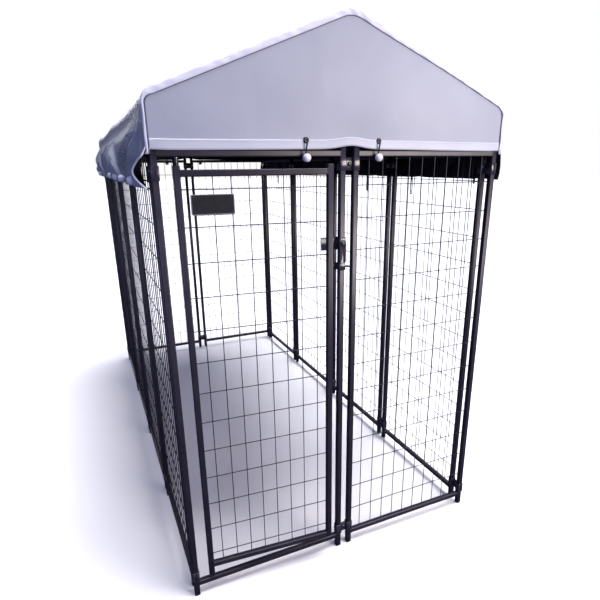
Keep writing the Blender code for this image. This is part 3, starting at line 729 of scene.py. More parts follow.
@dataclass
class TubeWork:
    """Square tube, its welds and its wire, as panels and door share them.

    A cap's profile is pairs of height and scale of the tube's outline. A weld's size is its half
    axes.
    """
    corner_steps: int = 3
    cut_edge: float = 0.0003
    cut_scale: float = 0.97
    cap_height: float = 0.0035
    cap_profile: Pairs = (
        (0.0, 0.70), (0.0005, 0.86), (0.0015, 0.97), (0.0032, 0.99), (0.0037, 0.96))
    bead: float = 0.0013
    bead_sides: int = 6
    bead_stations: int = 72
    bead_ripples: int = 24
    bead_ripple: float = 0.16
    bead_corner: float = 1.27
    bite: float = 0.0005
    wire_sides: int = 8
    side_margin: float = 0.066
    spot_sides: int = 6
    spot_latitude: float = math.radians(52.0)
    cross_weld: Place = (0.0019, 0.0013, 0.0019)
    upright_weld: Place = (0.0024, 0.0022, 0.0013)
    level_weld: Place = (0.0013, 0.0022, 0.0024)

    def post(self, shell: Shell, left: float, low: float, high: float, capped: bool) -> None:
        """Adds a hollow upright tube with its inside wall, on a moulded cap where it needs one.

        Args:
            shell: what it is added to.
            left: its left face, in X.
            low: its lower end.
            high: its open upper end.
            capped: whether a cap closes the lower end.
        """
        half, wall = SIZES.tube / 2, SIZES.tube_wall
        outer = rounded_square(half, SIZES.tube_corner, self.corner_steps)
        inner = rounded_square(half - wall, SIZES.tube_corner - wall, self.corner_steps)
        centre = (left + half, half)
        start = low + (self.cap_height if capped else 0.0)
        ends = [(start, self.cut_scale), (start + self.cut_edge, 1.0), (high - self.cut_edge, 1.0),
                (high, self.cut_scale)]
        rings = [straight(outer, ends, Axis.Z, centre),
                 straight(inner, [(high, 1.0), (start, 1.0)], Axis.Z, centre)]
        shell.grid(np.concatenate(rings), loop=True)
        if capped:
            steps = [(low + rise, scale) for rise, scale in self.cap_profile]
            shell.grid(straight(outer, steps, Axis.Z, centre), finish=1)

    def rail(self, shell: Shell, low: float, width: float) -> None:
        """Adds a rail between two posts, with a rippled weld bead round each end.

        Args:
            shell: what it is added to.
            low: its underside.
            width: width over the two posts.
        """
        half = SIZES.tube / 2 - SIZES.rail_inset
        outline = rounded_square(half, SIZES.tube_corner, self.corner_steps)
        ends = [(SIZES.tube - self.bite, 1.0), (width - SIZES.tube + self.bite, 1.0)]
        centre = (SIZES.tube / 2, low + SIZES.tube / 2)
        shell.grid(straight(outline, ends, Axis.X, centre))
        for place in (SIZES.tube, width - SIZES.tube):
            shell.grid(self.weld(place, centre), loop=True, ends=False)

    def weld(self, place: float, centre: Pair) -> Array:
        """A bead round a rail's end.

        The path is a square with cut corners in the plane of the post's face. The bead's radius is
        its own size times 1 + ripple * sin(ripples * a) at the angle a round the rail.

        Args:
            place: the post's face, in X.
            centre: the rail's middle, in Y and Z.

        Returns:
            Rings of shape (stations, sides, 3).
        """
        turn = np.arange(self.bead_stations) * math.tau / self.bead_stations
        squared = np.maximum(np.abs(np.cos(turn)), np.abs(np.sin(turn)))
        half = SIZES.tube / 2 - SIZES.rail_inset
        reach = np.minimum(half / squared, half * self.bead_corner)
        path = np.stack([np.full_like(turn, place), centre[0] + reach * np.cos(turn),
                         centre[1] + reach * np.sin(turn)], axis=1)
        size = 1 + self.bead_ripple * np.sin(self.bead_ripples * turn)
        return carried(circle(self.bead, self.bead_sides), path, size, closed=True)

    def fused(self, size: Place) -> Array:
        """A fused spot: a ball's rings at three latitudes, scaled to its half axes."""
        turns = (-self.spot_latitude, 0.0, self.spot_latitude)
        return turned([(math.cos(a), math.sin(a)) for a in turns], self.spot_sides, Axis.Z) * size

    def wires(self, shell: Shell, width: float, low: float, high: float) -> None:
        """Adds the welded wire: uprights in front, rows behind, and a fused spot at each crossing.

        Args:
            shell: what it is added to.
            width: width over the two posts.
            low: underside of the rail below.
            high: underside of the rail above.
        """
        low, high = low + SIZES.tube - SIZES.rail_inset, high + SIZES.rail_inset
        clear = width - 2 * SIZES.tube
        count = int((clear - self.side_margin) / SIZES.pitch_across) + 1
        first = SIZES.tube + (clear - (count - 1) * SIZES.pitch_across) / 2
        columns = first + np.arange(count) * SIZES.pitch_across
        rows = SIZES.first_row + np.arange(SIZES.rows) * SIZES.pitch_up
        front, back = [SIZES.wire_front], [SIZES.wire_back]
        middle = [(SIZES.wire_front + SIZES.wire_back) / 2]
        ends = [SIZES.tube, width - SIZES.tube]
        outline = circle(SIZES.wire / 2, self.wire_sides)
        upright = straight(outline, [(low - self.bite, 1.0), (high + self.bite, 1.0)], Axis.Z)
        level = straight(outline, [(ends[0] - self.bite, 1.0), (ends[1] + self.bite, 1.0)], Axis.X)
        for form, places in ((upright, (columns, front, [0.0])), (level, ([0.0], back, rows)),
                             (self.fused(self.cross_weld), (columns, middle, rows)),
                             (self.fused(self.upright_weld), (columns, front, [low, high])),
                             (self.fused(self.level_weld), (ends, back, rows))):
            shell.grid(form, places=crossings(*places))


@dataclass
class Panels:
    """The twelve flat panels: eleven with welded wire, and the open frame that holds the door."""
    work: TubeWork
    shop: Workshop

    def shell(self, wired: bool) -> Shell:
        """One panel with X from 0 to its width and its outer face on Y = 0."""
        shell = Shell()
        width = SIZES.panel_width
        for left in (0.0, width - SIZES.tube):
            self.work.post(shell, left, 0.0, SIZES.post_top, True)
        for low in (SIZES.rail_low, SIZES.rail_high):
            self.work.rail(shell, low, width)
        if wired:
            self.work.wires(shell, width, SIZES.rail_low, SIZES.rail_high)
        return shell

    def places(self) -> list[tuple[str, Spot]]:
        """Every wired panel's node and where its own axes stand."""
        half, depth, pitch = SIZES.half_width, SIZES.depth, SIZES.joint_pitch
        found = [("front_panel", Spot(pitch - half, 0.0)),
                 ("back_panel_1", Spot(half, depth, 0, math.pi)),
                 ("back_panel_2", Spot(half - pitch, depth, 0, math.pi))]
        for k in range(SIZES.side_panels):
            start = SIZES.corner_step + k * pitch
            end = start + SIZES.panel_width
            found.append((f"left_panel_{k + 1}", Spot(-half, end, 0, -math.pi / 2)))
            found.append((f"right_panel_{k + 1}", Spot(half, start, 0, math.pi / 2)))
        return found

    def build(self) -> None:
        """Makes every panel on the kennel's body."""
        finishes = [self.shop.steel, self.shop.foot]
        wired = self.shell(True)
        for node, spot in self.places():
            add_piece(f"{node}_welded", wired, finishes, (node,), spot)
        add_piece("door_frame_welded", self.shell(False), finishes,
                  ("front_door_frame",), Spot(-SIZES.half_width, 0.0))


@dataclass
class Door:
    """The hinged leaf with its long hinge stile, and the two pins that it turns on."""
    work: TubeWork
    shop: Workshop
    width: float = 0.461
    low: float = 0.099
    high: float = 1.423
    stile_rise: float = 0.010
    stile_cap: Pairs = ((-0.002, 0.93), (0.0002, 0.98), (0.0014, 0.95), (0.0022, 0.80))
    tail: float = 0.0633
    hinge_x: float = -0.522
    hinge_y: float = 0.0095
    ajar: float = math.radians(4.5)
    collar: float = 0.0095
    collar_height: float = 0.003
    collar_edge: float = 0.0004
    collar_scale: float = 0.93
    pin_radius: float = 0.0080
    pin_point: float = 0.002
    pin_in_stile: float = 0.030
    pin_sides: int = 24

    @property
    def spot(self) -> Spot:
        """The hinge line, with the leaf's turn at rest."""
        return Spot(self.hinge_x, self.hinge_y, 0.0, -self.ajar)

    def own(self, points: Array) -> Array:
        """Points measured from the leaf's left front edge, now measured from the hinge line."""
        return points - (SIZES.tube / 2, SIZES.tube / 2, 0.0)

    def leaf(self) -> Shell:
        """The leaf; its hinge stile runs down to the lower pin, and its latch stile has a cap."""
        shell = Shell()
        high = self.high + self.stile_rise
        self.work.post(shell, 0.0, self.tail, high, False)
        self.work.post(shell, self.width - SIZES.tube, self.low, high, True)
        for low in (self.low, self.high - SIZES.tube):
            self.work.rail(shell, low, self.width)
        self.work.wires(shell, self.width, self.low, self.high - SIZES.tube)
        cap = rounded_square(SIZES.tube / 2, SIZES.tube_corner, self.work.corner_steps)
        steps = [(high + rise, scale) for rise, scale in self.stile_cap]
        centre = (self.width - SIZES.tube / 2, SIZES.tube / 2)
        shell.grid(straight(cap, steps, Axis.Z, centre), finish=1)
        shell.points = [self.own(points) for points in shell.points]
        return shell

    def pin(self, low: float, up: bool) -> Shell:
        """A hinge pin with a round collar on a rail.

        Args:
            low: the rail's face that it stands on.
            up: whether it stands up from the low rail, or hangs from the high one.

        Returns:
            The pin.
        """
        way, stile_end = (1, self.tail) if up else (-1, self.high + self.stile_rise)
        reach = way * (stile_end - low) + self.pin_in_stile
        wide, slim, top = self.collar, self.pin_radius, self.collar_height
        profile = [(wide * self.collar_scale, 0.0), (wide, self.collar_edge),
                   (wide, top - self.collar_edge), (wide * self.collar_scale, top), (slim, top),
                   (slim, reach - self.pin_point), (slim - self.pin_point, reach)]
        steps = [(radius, low + way * step) for radius, step in profile]
        centre = (self.hinge_x, self.hinge_y, 0.0)
        return Shell().grid(turned(steps, self.pin_sides, Axis.Z, centre))

    def build(self) -> None:
        """Makes the leaf on the door's body and the pins on the kennel's."""
        add_piece("door_leaf_welded", self.leaf(), [self.shop.steel, self.shop.foot],
                  ("door_leaf",), self.spot, Body.DOOR)
        for end, node, pin in (("low", "bottom", self.pin(SIZES.low_rail_top, True)),
                               ("high", "top", self.pin(SIZES.rail_high, False))):
            add_piece(f"hinge_pin_{end}", pin, [self.shop.bolt],
                      (f"hinge_pin_{node}",))


@dataclass
class SignPlate:
    """A bare moulded plate with a raised rim, tied to the door's wire by four rivets.

    The rivet's dome is pairs of share of its radius and place forward of the plate.
    """
    shop: Workshop
    door: Door
    width: float = 0.121
    height: float = 0.056
    thickness: float = 0.0016
    rim: float = 0.0030
    rim_rise: float = 0.0009
    rim_edge: float = 0.0006
    back_edge: float = 0.0008
    corner: float = 0.004
    corner_steps: int = 5
    from_stile: float = 0.021
    below_rail: float = 0.046
    wire_setback: float = 0.0065
    rivet: float = 0.0022
    rivet_inset: float = 0.0075
    rivet_dome: Pairs = ((1.0, 0.0), (1.0, -0.0004), (0.7, -0.0010), (0.3, -0.0012))
    rivet_sides: int = 10

    def outline(self, inset: float) -> Array:
        """The plate's outline in X and Z, its corners round, scaled down by an inset."""
        turn = np.linspace(0, math.pi / 2, self.corner_steps + 1)
        quarter = self.corner * np.stack([np.cos(turn), np.sin(turn)], axis=1)
        size = np.array([self.width / 2, self.height / 2])
        edge = [quarter @ turn_by + (size - self.corner) * (np.ones(2) @ turn_by)
                for turn_by in QUARTER_TURNS]
        return np.vstack(edge) * (1 - inset / size)

    def build(self) -> None:
        """Makes the plate, its rim and its rivets on the door's body."""
        shell = Shell()
        face = -self.thickness
        crest = face - self.rim_rise
        rows = [(0.0, self.back_edge), (0.0, 0.0), (face - self.rim_rise * 0.6, 0.0),
                (crest, self.rim_edge), (crest, self.rim - self.rim_edge), (face, self.rim)]
        rings = layers(Axis.Y, [(place, self.outline(inset)) for place, inset in rows])
        shell.grid(rings[:3], ends=False)
        # The raised rim takes the grey of a painted highlight.
        shell.grid(rings[2:], ends=False, finish=1)
        middle = [(face, self.outline(self.rim) * share) for share in (1.0, 0.6, 0.2)]
        shell.grid(layers(Axis.Y, middle), ends=False)
        sides = rings.shape[1]
        shell.faces += [list(range(shell.count - sides, shell.count)), list(range(sides))[::-1]]
        shell.finish += [0, 0]
        x, z = np.array([self.width / 2, self.height / 2]) - self.rivet_inset
        dome = [(self.rivet * share, place) for share, place in self.rivet_dome]
        places = [(x * a, face, z * b) for a in (-1, 1) for b in (-1, 1)]
        shell.grid(turned(dome, self.rivet_sides, Axis.Y), finish=2, places=np.array(places))
        left = SIZES.tube + self.from_stile + self.width / 2
        top = self.door.high - SIZES.tube - self.below_rail
        place = np.array([left, self.wire_setback - SIZES.seat, top - self.height / 2])
        shell.points = [self.door.own(points + place) for points in shell.points]
        add_piece("bare_sign_plate", shell, [self.shop.plate, self.shop.rim_painted_highlight, self.shop.bolt],
                  ("sign_plate",), self.door.spot, Body.DOOR, sharp=35.0)


def bent_strip(corners: Pairs, bend: float, steps: int, thickness: float) -> Array:
    """A bent strip of sheet in section: its middle line moved half its thickness to either side.

    Args:
        corners: corners of the middle line, as (x, y) pairs.
        bend: the middle line's radius at each inner corner.
        steps: parts that each bend is cut into.
        thickness: the sheet's thickness.

    Returns:
        A closed outline of shape (n, 2).
    """
    solid = np.insert(np.asarray(corners, float), 2, 0.0, axis=1)
    path = rounded_path(solid, (bend,) * (len(corners) - 2), steps)[:, :2]
    ahead = unit(np.gradient(path, axis=0))
    half = np.stack([-ahead[:, 1], ahead[:, 0]], axis=1) * thickness / 2
    return np.vstack([path + half, (path - half)[::-1]])


def plate_rings(outline: Array, height: float, soften: float) -> Array:
    """Rings of a pressed plate that stands on Z = 0, its end rings moved in along its normals.

    Args:
        outline: the closed outline, of shape (n, 2), either way round.
        height: the plate's height.
        soften: how far its two ends are eased inwards.

    Returns:
        Rings of shape (4, n, 3).
    """
    x, y = outline.T
    area = np.sum(x * np.roll(y, -1) - np.roll(x, -1) * y)
    inward = beside(outline) * np.sign(area)
    rows = [(0.0, soften), (soften, 0.0), (height - soften, 0.0), (height, soften)]
    return layers(Axis.Z, [(place, outline + inward * inset) for place, inset in rows])


@dataclass
class SaddleClamps:
    """Two pressed saddle halves and a carriage bolt at each joint between panels, high and low.

    The bolt's head is pairs of share of its radius and share of its height.
    """
    shop: Workshop
    plate: float = 0.0022
    height: float = 0.038
    soften: float = 0.0004
    lip_gap: float = 0.002
    off_rail: float = 0.002
    corner_drop: float = 0.020
    bend: float = 0.0032
    bend_steps: int = 4
    bolt_radius: float = 0.0062
    bolt_height: float = 0.0038
    bolt_edge: float = 0.0006
    bolt_head: Pairs = ((0.86, 0.55), (0.55, 0.88), (0.2, 1.0))
    nut_scale: float = 1.02
    nut_chamfer: float = 0.90
    thread: float = 0.0028
    rib_section: Pair = (0.00147, 0.00036)
    rib_stations: Pairs = ((-0.0050, 0.3), (-0.0036, 1.0), (0.0036, 1.0), (0.0050, 0.3))
    rib_inset: float = 0.008

    def half(self) -> Array:
        """Section of the front half: round one post, across the web and round the other."""
        middle = self.plate / 2
        pocket_in = SIZES.post_gap / 2 - SIZES.seat - middle
        pocket_out = SIZES.post_gap / 2 + SIZES.tube + SIZES.seat + middle
        deep = -(SIZES.tube / 2 + SIZES.seat + middle)
        right = [(pocket_in, -middle), (pocket_in, deep), (pocket_out, deep),
                 (pocket_out, -self.lip_gap)]
        corners = [(-x, y) for x, y in right[::-1]] + right
        return bent_strip(corners, self.bend, self.bend_steps, self.plate)

    def shell(self) -> Shell:
        """One clamp, centred on its posts and standing on Z = 0: halves, bolt, nut and ribs."""
        shell = Shell()
        front = plate_rings(self.half(), self.height, self.soften)
        shell.grid(front)
        shell.grid(front * (1.0, -1.0, 1.0))
        centre = (0.0, 0.0, self.height / 2)
        radius, rise, face, sunk = self.bolt_radius, self.bolt_height, self.plate, SIZES.sunk
        head = [(radius, sunk - face), (radius, -face - self.bolt_edge)]
        head += [(radius * share, -face - rise * height) for share, height in self.bolt_head]
        across = radius * self.nut_scale
        nut = [(across, face - sunk), (across, face + rise - self.bolt_edge),
               (radius * self.nut_chamfer, face + rise)]
        tail = [(self.thread, face + rise - sunk), (self.thread, face + rise + 2 * self.bolt_edge),
                (self.thread - self.bolt_edge, face + rise + 3 * self.bolt_edge)]
        for profile, sides in ((head, 18), (nut, 6), (tail, 12)):
            shell.grid(turned(profile, sides, Axis.Y, centre), finish=1)
        rib = straight(circle(1.0, 10) * self.rib_section, self.rib_stations, Axis.X)
        heights = (self.rib_inset, self.height - self.rib_inset)
        return shell.grid(rib, places=np.array([(0.0, -face, z) for z in heights]))

    def places(self) -> list[tuple[str, float, float, float, float]]:
        """Each joint: its name, its middle, the turn of its clamp and its drop at the top."""
        inset = SIZES.tube / 2
        corner = SIZES.corner_step - SIZES.post_gap / 2
        found = [("front", 0.0, inset, 0.0, 0.0), ("back", 0.0, SIZES.depth - inset, math.pi, 0.0)]
        for side in Side:
            x, turn = side.value * SIZES.post_line, side.value * math.pi / 2
            found.append((f"{word(side)}_front", x, corner, turn, self.corner_drop))
            found += [(f"{word(side)}_{k}", x, corner + k * SIZES.joint_pitch, turn, 0.0)
                      for k in range(1, SIZES.side_panels)]
            found.append((f"{word(side)}_back", x, SIZES.depth - corner, turn, self.corner_drop))
        return found

    def build(self) -> None:
        """Makes the twenty-four clamps on the kennel's body."""
        shell = self.shell()
        finishes = [self.shop.clamp, self.shop.bolt]
        for name, x, y, turn, drop in self.places():
            high = SIZES.rail_high - self.off_rail - self.height - drop
            low = SIZES.low_rail_top + self.off_rail
            for end, z in (("top", high), ("bottom", low)):
                add_piece(f"saddle_{name}_{end}", shell, finishes,
                          (f"clamp_{name}_{end}",), Spot(x, y, z, turn))


@dataclass
class TurnLatch:
    """Two straps bent round the post beside the door, and a pressed lever that turns on a bolt.

    The screw and the washer are pairs of radius and height over the strap. The lever's bars are
    pairs of place along it and scale.
    """
    shop: Workshop
    plate: float = 0.0025
    soften: float = 0.0005
    bend: float = 0.0030
    bend_steps: int = 5
    bracket_top: float = 1.213
    bracket_height: float = 0.041
    staple_top: float = 1.130
    staple_height: float = 0.024
    tongue: float = -0.0655
    low_tongue: float = -0.0430
    screw: Pairs = ((0.0046, -0.0002), (0.0046, 0.0022), (0.0040, 0.0028))
    washer: Pairs = ((0.0060, -0.0002), (0.0060, 0.0006))
    screw_share: float = 0.28
    lever_width: float = 0.022
    lever_tail: float = 0.064
    tail_corner: float = 0.8
    head_rise: float = 0.012
    head_sides: int = 32
    rib: float = 0.0018
    bar_section: Pair = (0.0012, 0.0009)
    bar_stations: Pairs = ((-0.052, 0.3), (-0.049, 1.0), (-0.016, 1.0), (-0.013, 0.3))
    bar_offset: float = 0.0035
    pivot: float = 0.004
    pivot_head: float = 0.0065
    pivot_head_height: float = 0.003
    pivot_sides: int = 24
    ring: float = 0.0075
    ring_wire: float = 0.0018
    ring_stations: int = 32

    @property
    def outside(self) -> float:
        """The strap's outer face, from the post's middle."""
        return SIZES.tube / 2 + SIZES.seat + self.plate

    def strap(self, height: float, tongue: float) -> Array:
        """A strap with a lip on the left, a front, a right side, and a tongue behind the door.

        Args:
            height: the strap's height.
            tongue: where the tongue ends, in X from the post's middle.

        Returns:
            Its rings, standing on Z = 0.
        """
        reach = SIZES.tube / 2 + SIZES.seat + self.plate / 2
        corners = [(-reach, -SIZES.tube / 6), (-reach, -reach), (reach, -reach), (reach, reach),
                   (tongue, reach)]
        outline = bent_strip(corners, self.bend, self.bend_steps, self.plate)
        return plate_rings(outline, height, self.soften)

    def bracket(self) -> Shell:
        """The upper strap, which stops the door, with a hex screw and washer in its side."""
        shell = Shell().grid(self.strap(self.bracket_height, self.tongue))
        centre = (0.0, 0.0, self.bracket_height * self.screw_share)
        for profile, sides in ((self.screw, 6), (self.washer, 16)):
            steps = [(radius, self.outside + rise) for radius, rise in profile]
            shell.grid(turned(steps, sides, Axis.X, centre), finish=1)
        return shell

    def staple(self) -> Shell:
        """The lower strap with its round eye for a padlock."""
        shell = Shell().grid(self.strap(self.staple_height, self.low_tongue))
        centre = (self.outside + self.ring, self.plate / 2 - self.outside, self.staple_height / 2)
        path = np.insert(circle(self.ring, self.ring_stations), 2, 0.0, axis=1) + centre
        eye = carried(circle(self.ring_wire, 10), path, closed=True)
        return shell.grid(eye, loop=True, ends=False)

    def lever_edge(self, inset: float) -> Array:
        """The lever's outline: a round head, straight sides, and a tail with round corners.

        Args:
            inset: how far the outline is moved in along its normals.

        Returns:
            Points in X and Z, of shape (n, 2).
        """
        half = self.lever_width / 2
        top = self.head_rise - half
        head = half * circle(1.0, self.head_sides)[:self.head_sides // 2 + 1] + (0.0, top)
        corner = half * self.tail_corner
        turn = np.linspace(math.pi, 1.5 * math.pi, 7)
        left = corner * np.stack([np.cos(turn), np.sin(turn)], axis=1)
        left = left + (-half + corner, corner - self.lever_tail)
        edge = np.vstack([head, left, left[::-1] * (-1.0, 1.0)])
        return edge + inset * beside(edge)

    def lever(self) -> Shell:
        """The pressed lever: a raised edge, a sunk middle with two bars, a boss at the pivot."""
        front = -self.plate
        sunk = self.rib / 2 - self.plate
        rows = [(0.0, 0.0004), (-0.0004, 0.0), (front + 0.0008, 0.0), (front, 0.0006),
                (front, 0.0024), (sunk, 0.0034)]
        edges = [(place, self.lever_edge(inset)) for place, inset in rows]
        shell = Shell().grid(layers(Axis.Y, edges))
        head = self.pivot_head
        boss = [(head + 0.0020, front + 0.0012), (head + 0.0014, front), (head, front - 0.0001)]
        shell.grid(turned(boss, self.pivot_sides, Axis.Y))
        bar = straight(circle(1.0, 12) * self.bar_section, self.bar_stations, Axis.Z)
        places = [(x, sunk, 0.0) for x in (-self.bar_offset, self.bar_offset)]
        return shell.grid(bar, places=np.array(places))

    def bolt(self) -> Shell:
        """The pivot bolt: a shoulder through the lever and a low domed head with a hex socket."""
        shoulder = self.plate + 2 * SIZES.seat
        head = self.pivot_head
        top = shoulder + self.pivot_head_height
        profile = [(self.pivot, 0.0), (self.pivot, -shoulder), (head, -shoulder),
                   (head, -shoulder - 0.0010), (head * 0.86, -top + 0.0006), (head * 0.62, -top),
                   (head * 0.42, -top), (head * 0.38, -top + 0.0012)]
        return Shell().grid(turned(profile, self.pivot_sides, Axis.Y))

    def build(self) -> None:
        """Makes the straps and bolt on the kennel's body, and the lever on its own."""
        x, y = -(SIZES.post_gap + SIZES.tube) / 2, SIZES.tube / 2
        strap_low = self.bracket_top - self.bracket_height
        staple_low = self.staple_top - self.staple_height
        pivot = Spot(x, y - self.outside - SIZES.seat, strap_low + self.bracket_height / 2)
        both = [self.shop.clamp, self.shop.bolt]
        for name, shell, finishes, body, node, spot in (
                ("strap_high", self.bracket(), both, Body.KENNEL, "bracket", Spot(x, y, strap_low)),
                ("strap_low", self.staple(), both, Body.KENNEL, "staple", Spot(x, y, staple_low)),
                ("turn_lever", self.lever(), both, Body.LATCH, "lever", pivot),
                ("bolt", self.bolt(), [self.shop.bolt], Body.KENNEL, "pivot_bolt", pivot)):
            add_piece(f"latch_{name}", shell, finishes, (f"latch_{node}",), spot,
                      body)


@dataclass
class RoofPoles:
    """Three bent bows in the posts' tops, a ridge pole and two eave poles, with swaged joints.

    The swage is pairs of radius and height over the post, and the joint is pairs of place and scale
    along a pole.
    """
    shop: Workshop
    in_post: float = 0.045
    eave_bend: float = 0.050
    ridge_bend: float = 0.090
    bend_steps: int = 14
    sides: int = 20
    swage: Pairs = ((0.0078, 0.0002), (0.0090, 0.0008), (0.0090, 0.0030), (0.0078, 0.0045))
    joint: Pairs = ((-0.012, 1.0), (-0.010, 0.93), (-0.004, 0.93), (-0.003, 1.0))
    joint_shares: tuple[float, ...] = (0.25, 0.5, 0.75)
    end_ease: float = 0.0015
    end_scale: float = 0.8

    def bow_path(self, y: float) -> Array:
        """Up from a post, over the ridge and down into the other post."""
        x, foot = SIZES.post_line, SIZES.post_top - self.in_post
        eave, ridge = SIZES.eave_height, SIZES.ridge_height
        corners = [(-x, y, foot), (-x, y, eave), (0.0, y, ridge), (x, y, eave), (x, y, foot)]
        bends = (self.eave_bend, self.ridge_bend, self.eave_bend)
        return rounded_path(np.array(corners), bends, self.bend_steps)

    def bow(self, y: float) -> Shell:
        """A bow at a place along the kennel, with the swaged ring where it meets each post."""
        shell = Shell().grid(carried(circle(SIZES.pole, self.sides), self.bow_path(y)))
        ring = [(radius, SIZES.post_top + rise) for radius, rise in self.swage]
        for x in (-SIZES.post_line, SIZES.post_line):
            shell.grid(turned(ring, self.sides, Axis.Z, (x, y, 0.0)))
        return shell

    def pole(self, x: float, z: float) -> Shell:
        """A straight pole in X and Z from the front bow to the back one, in four lengths."""
        low, high = SIZES.tube / 2 - SIZES.pole, SIZES.depth - SIZES.tube / 2 + SIZES.pole
        stations = [(low, self.end_scale), (low + self.end_ease, 1.0)]
        for share in self.joint_shares:
            y = low + (high - low) * share
            stations += [(y + step, scale) for step, scale in self.joint]
        stations += [(high - self.end_ease, 1.0), (high, self.end_scale)]
        return Shell().grid(straight(circle(SIZES.pole, self.sides), stations, Axis.Y, (x, z)))

    def build(self) -> None:
        """Makes the bows and the poles on the kennel's body."""
        slope = SIZES.slope
        drop = 2 * SIZES.pole + SIZES.seat
        ridge = SIZES.ridge_height - (self.ridge_bend / math.cos(slope) - self.ridge_bend) - drop
        eave_x = SIZES.post_line - self.eave_bend - SIZES.pole
        eave = SIZES.ridge_height - eave_x * math.tan(slope) - drop / math.cos(slope)
        parts = [(f"bent_bow_{name}", self.bow(y), f"roof_bow_{name}")
                 for name, y in zip(("front", "middle", "back"), SIZES.bow_places)]
        parts += [(f"round_{node}", self.pole(x, z), node)
                  for node, x, z in (("ridge_pole", 0.0, ridge), ("eave_pole_left", -eave_x, eave),
                                     ("eave_pole_right", eave_x, eave))]
        for name, shell, node in parts:
            add_piece(name, shell, [self.shop.pole], (node,))


@dataclass(frozen=True)
class Drape:
    """How one side's drape hangs: its folds, and the curl and flare of its free edge.

    A bungee is its place along the side, how far out the cloth stands there, and the number of its
    CAD node, or 0. The scallop is how far the hem drops between two of them.
    """
    phase: float
    pitch: float
    depth: float
    curl: float
    scallop: float
    flare: float
    bungees: tuple[tuple[float, float, int], ...]


DRAPES = {
    Side.LEFT: Drape(0.6, 0.115, 0.032, 0.045, 0.004, 0.026, (
        (0.235, 0.013, 0), (0.560, 0.014, 0), (0.8339, 0.0160, 1), (1.230, 0.014, 0),
        (2.0887, 0.0196, 2))),
    Side.RIGHT: Drape(2.6, 0.180, 0.014, 0.010, 0.0015, 0.016, (
        (0.077, 0.012, 0), (0.461, 0.014, 0), (0.8339, 0.0160, 1), (1.230, 0.015, 0),
        (1.802, 0.015, 0), (2.0887, 0.0196, 2))),
}
GABLE_BUNGEES = (-0.150, 0.095)


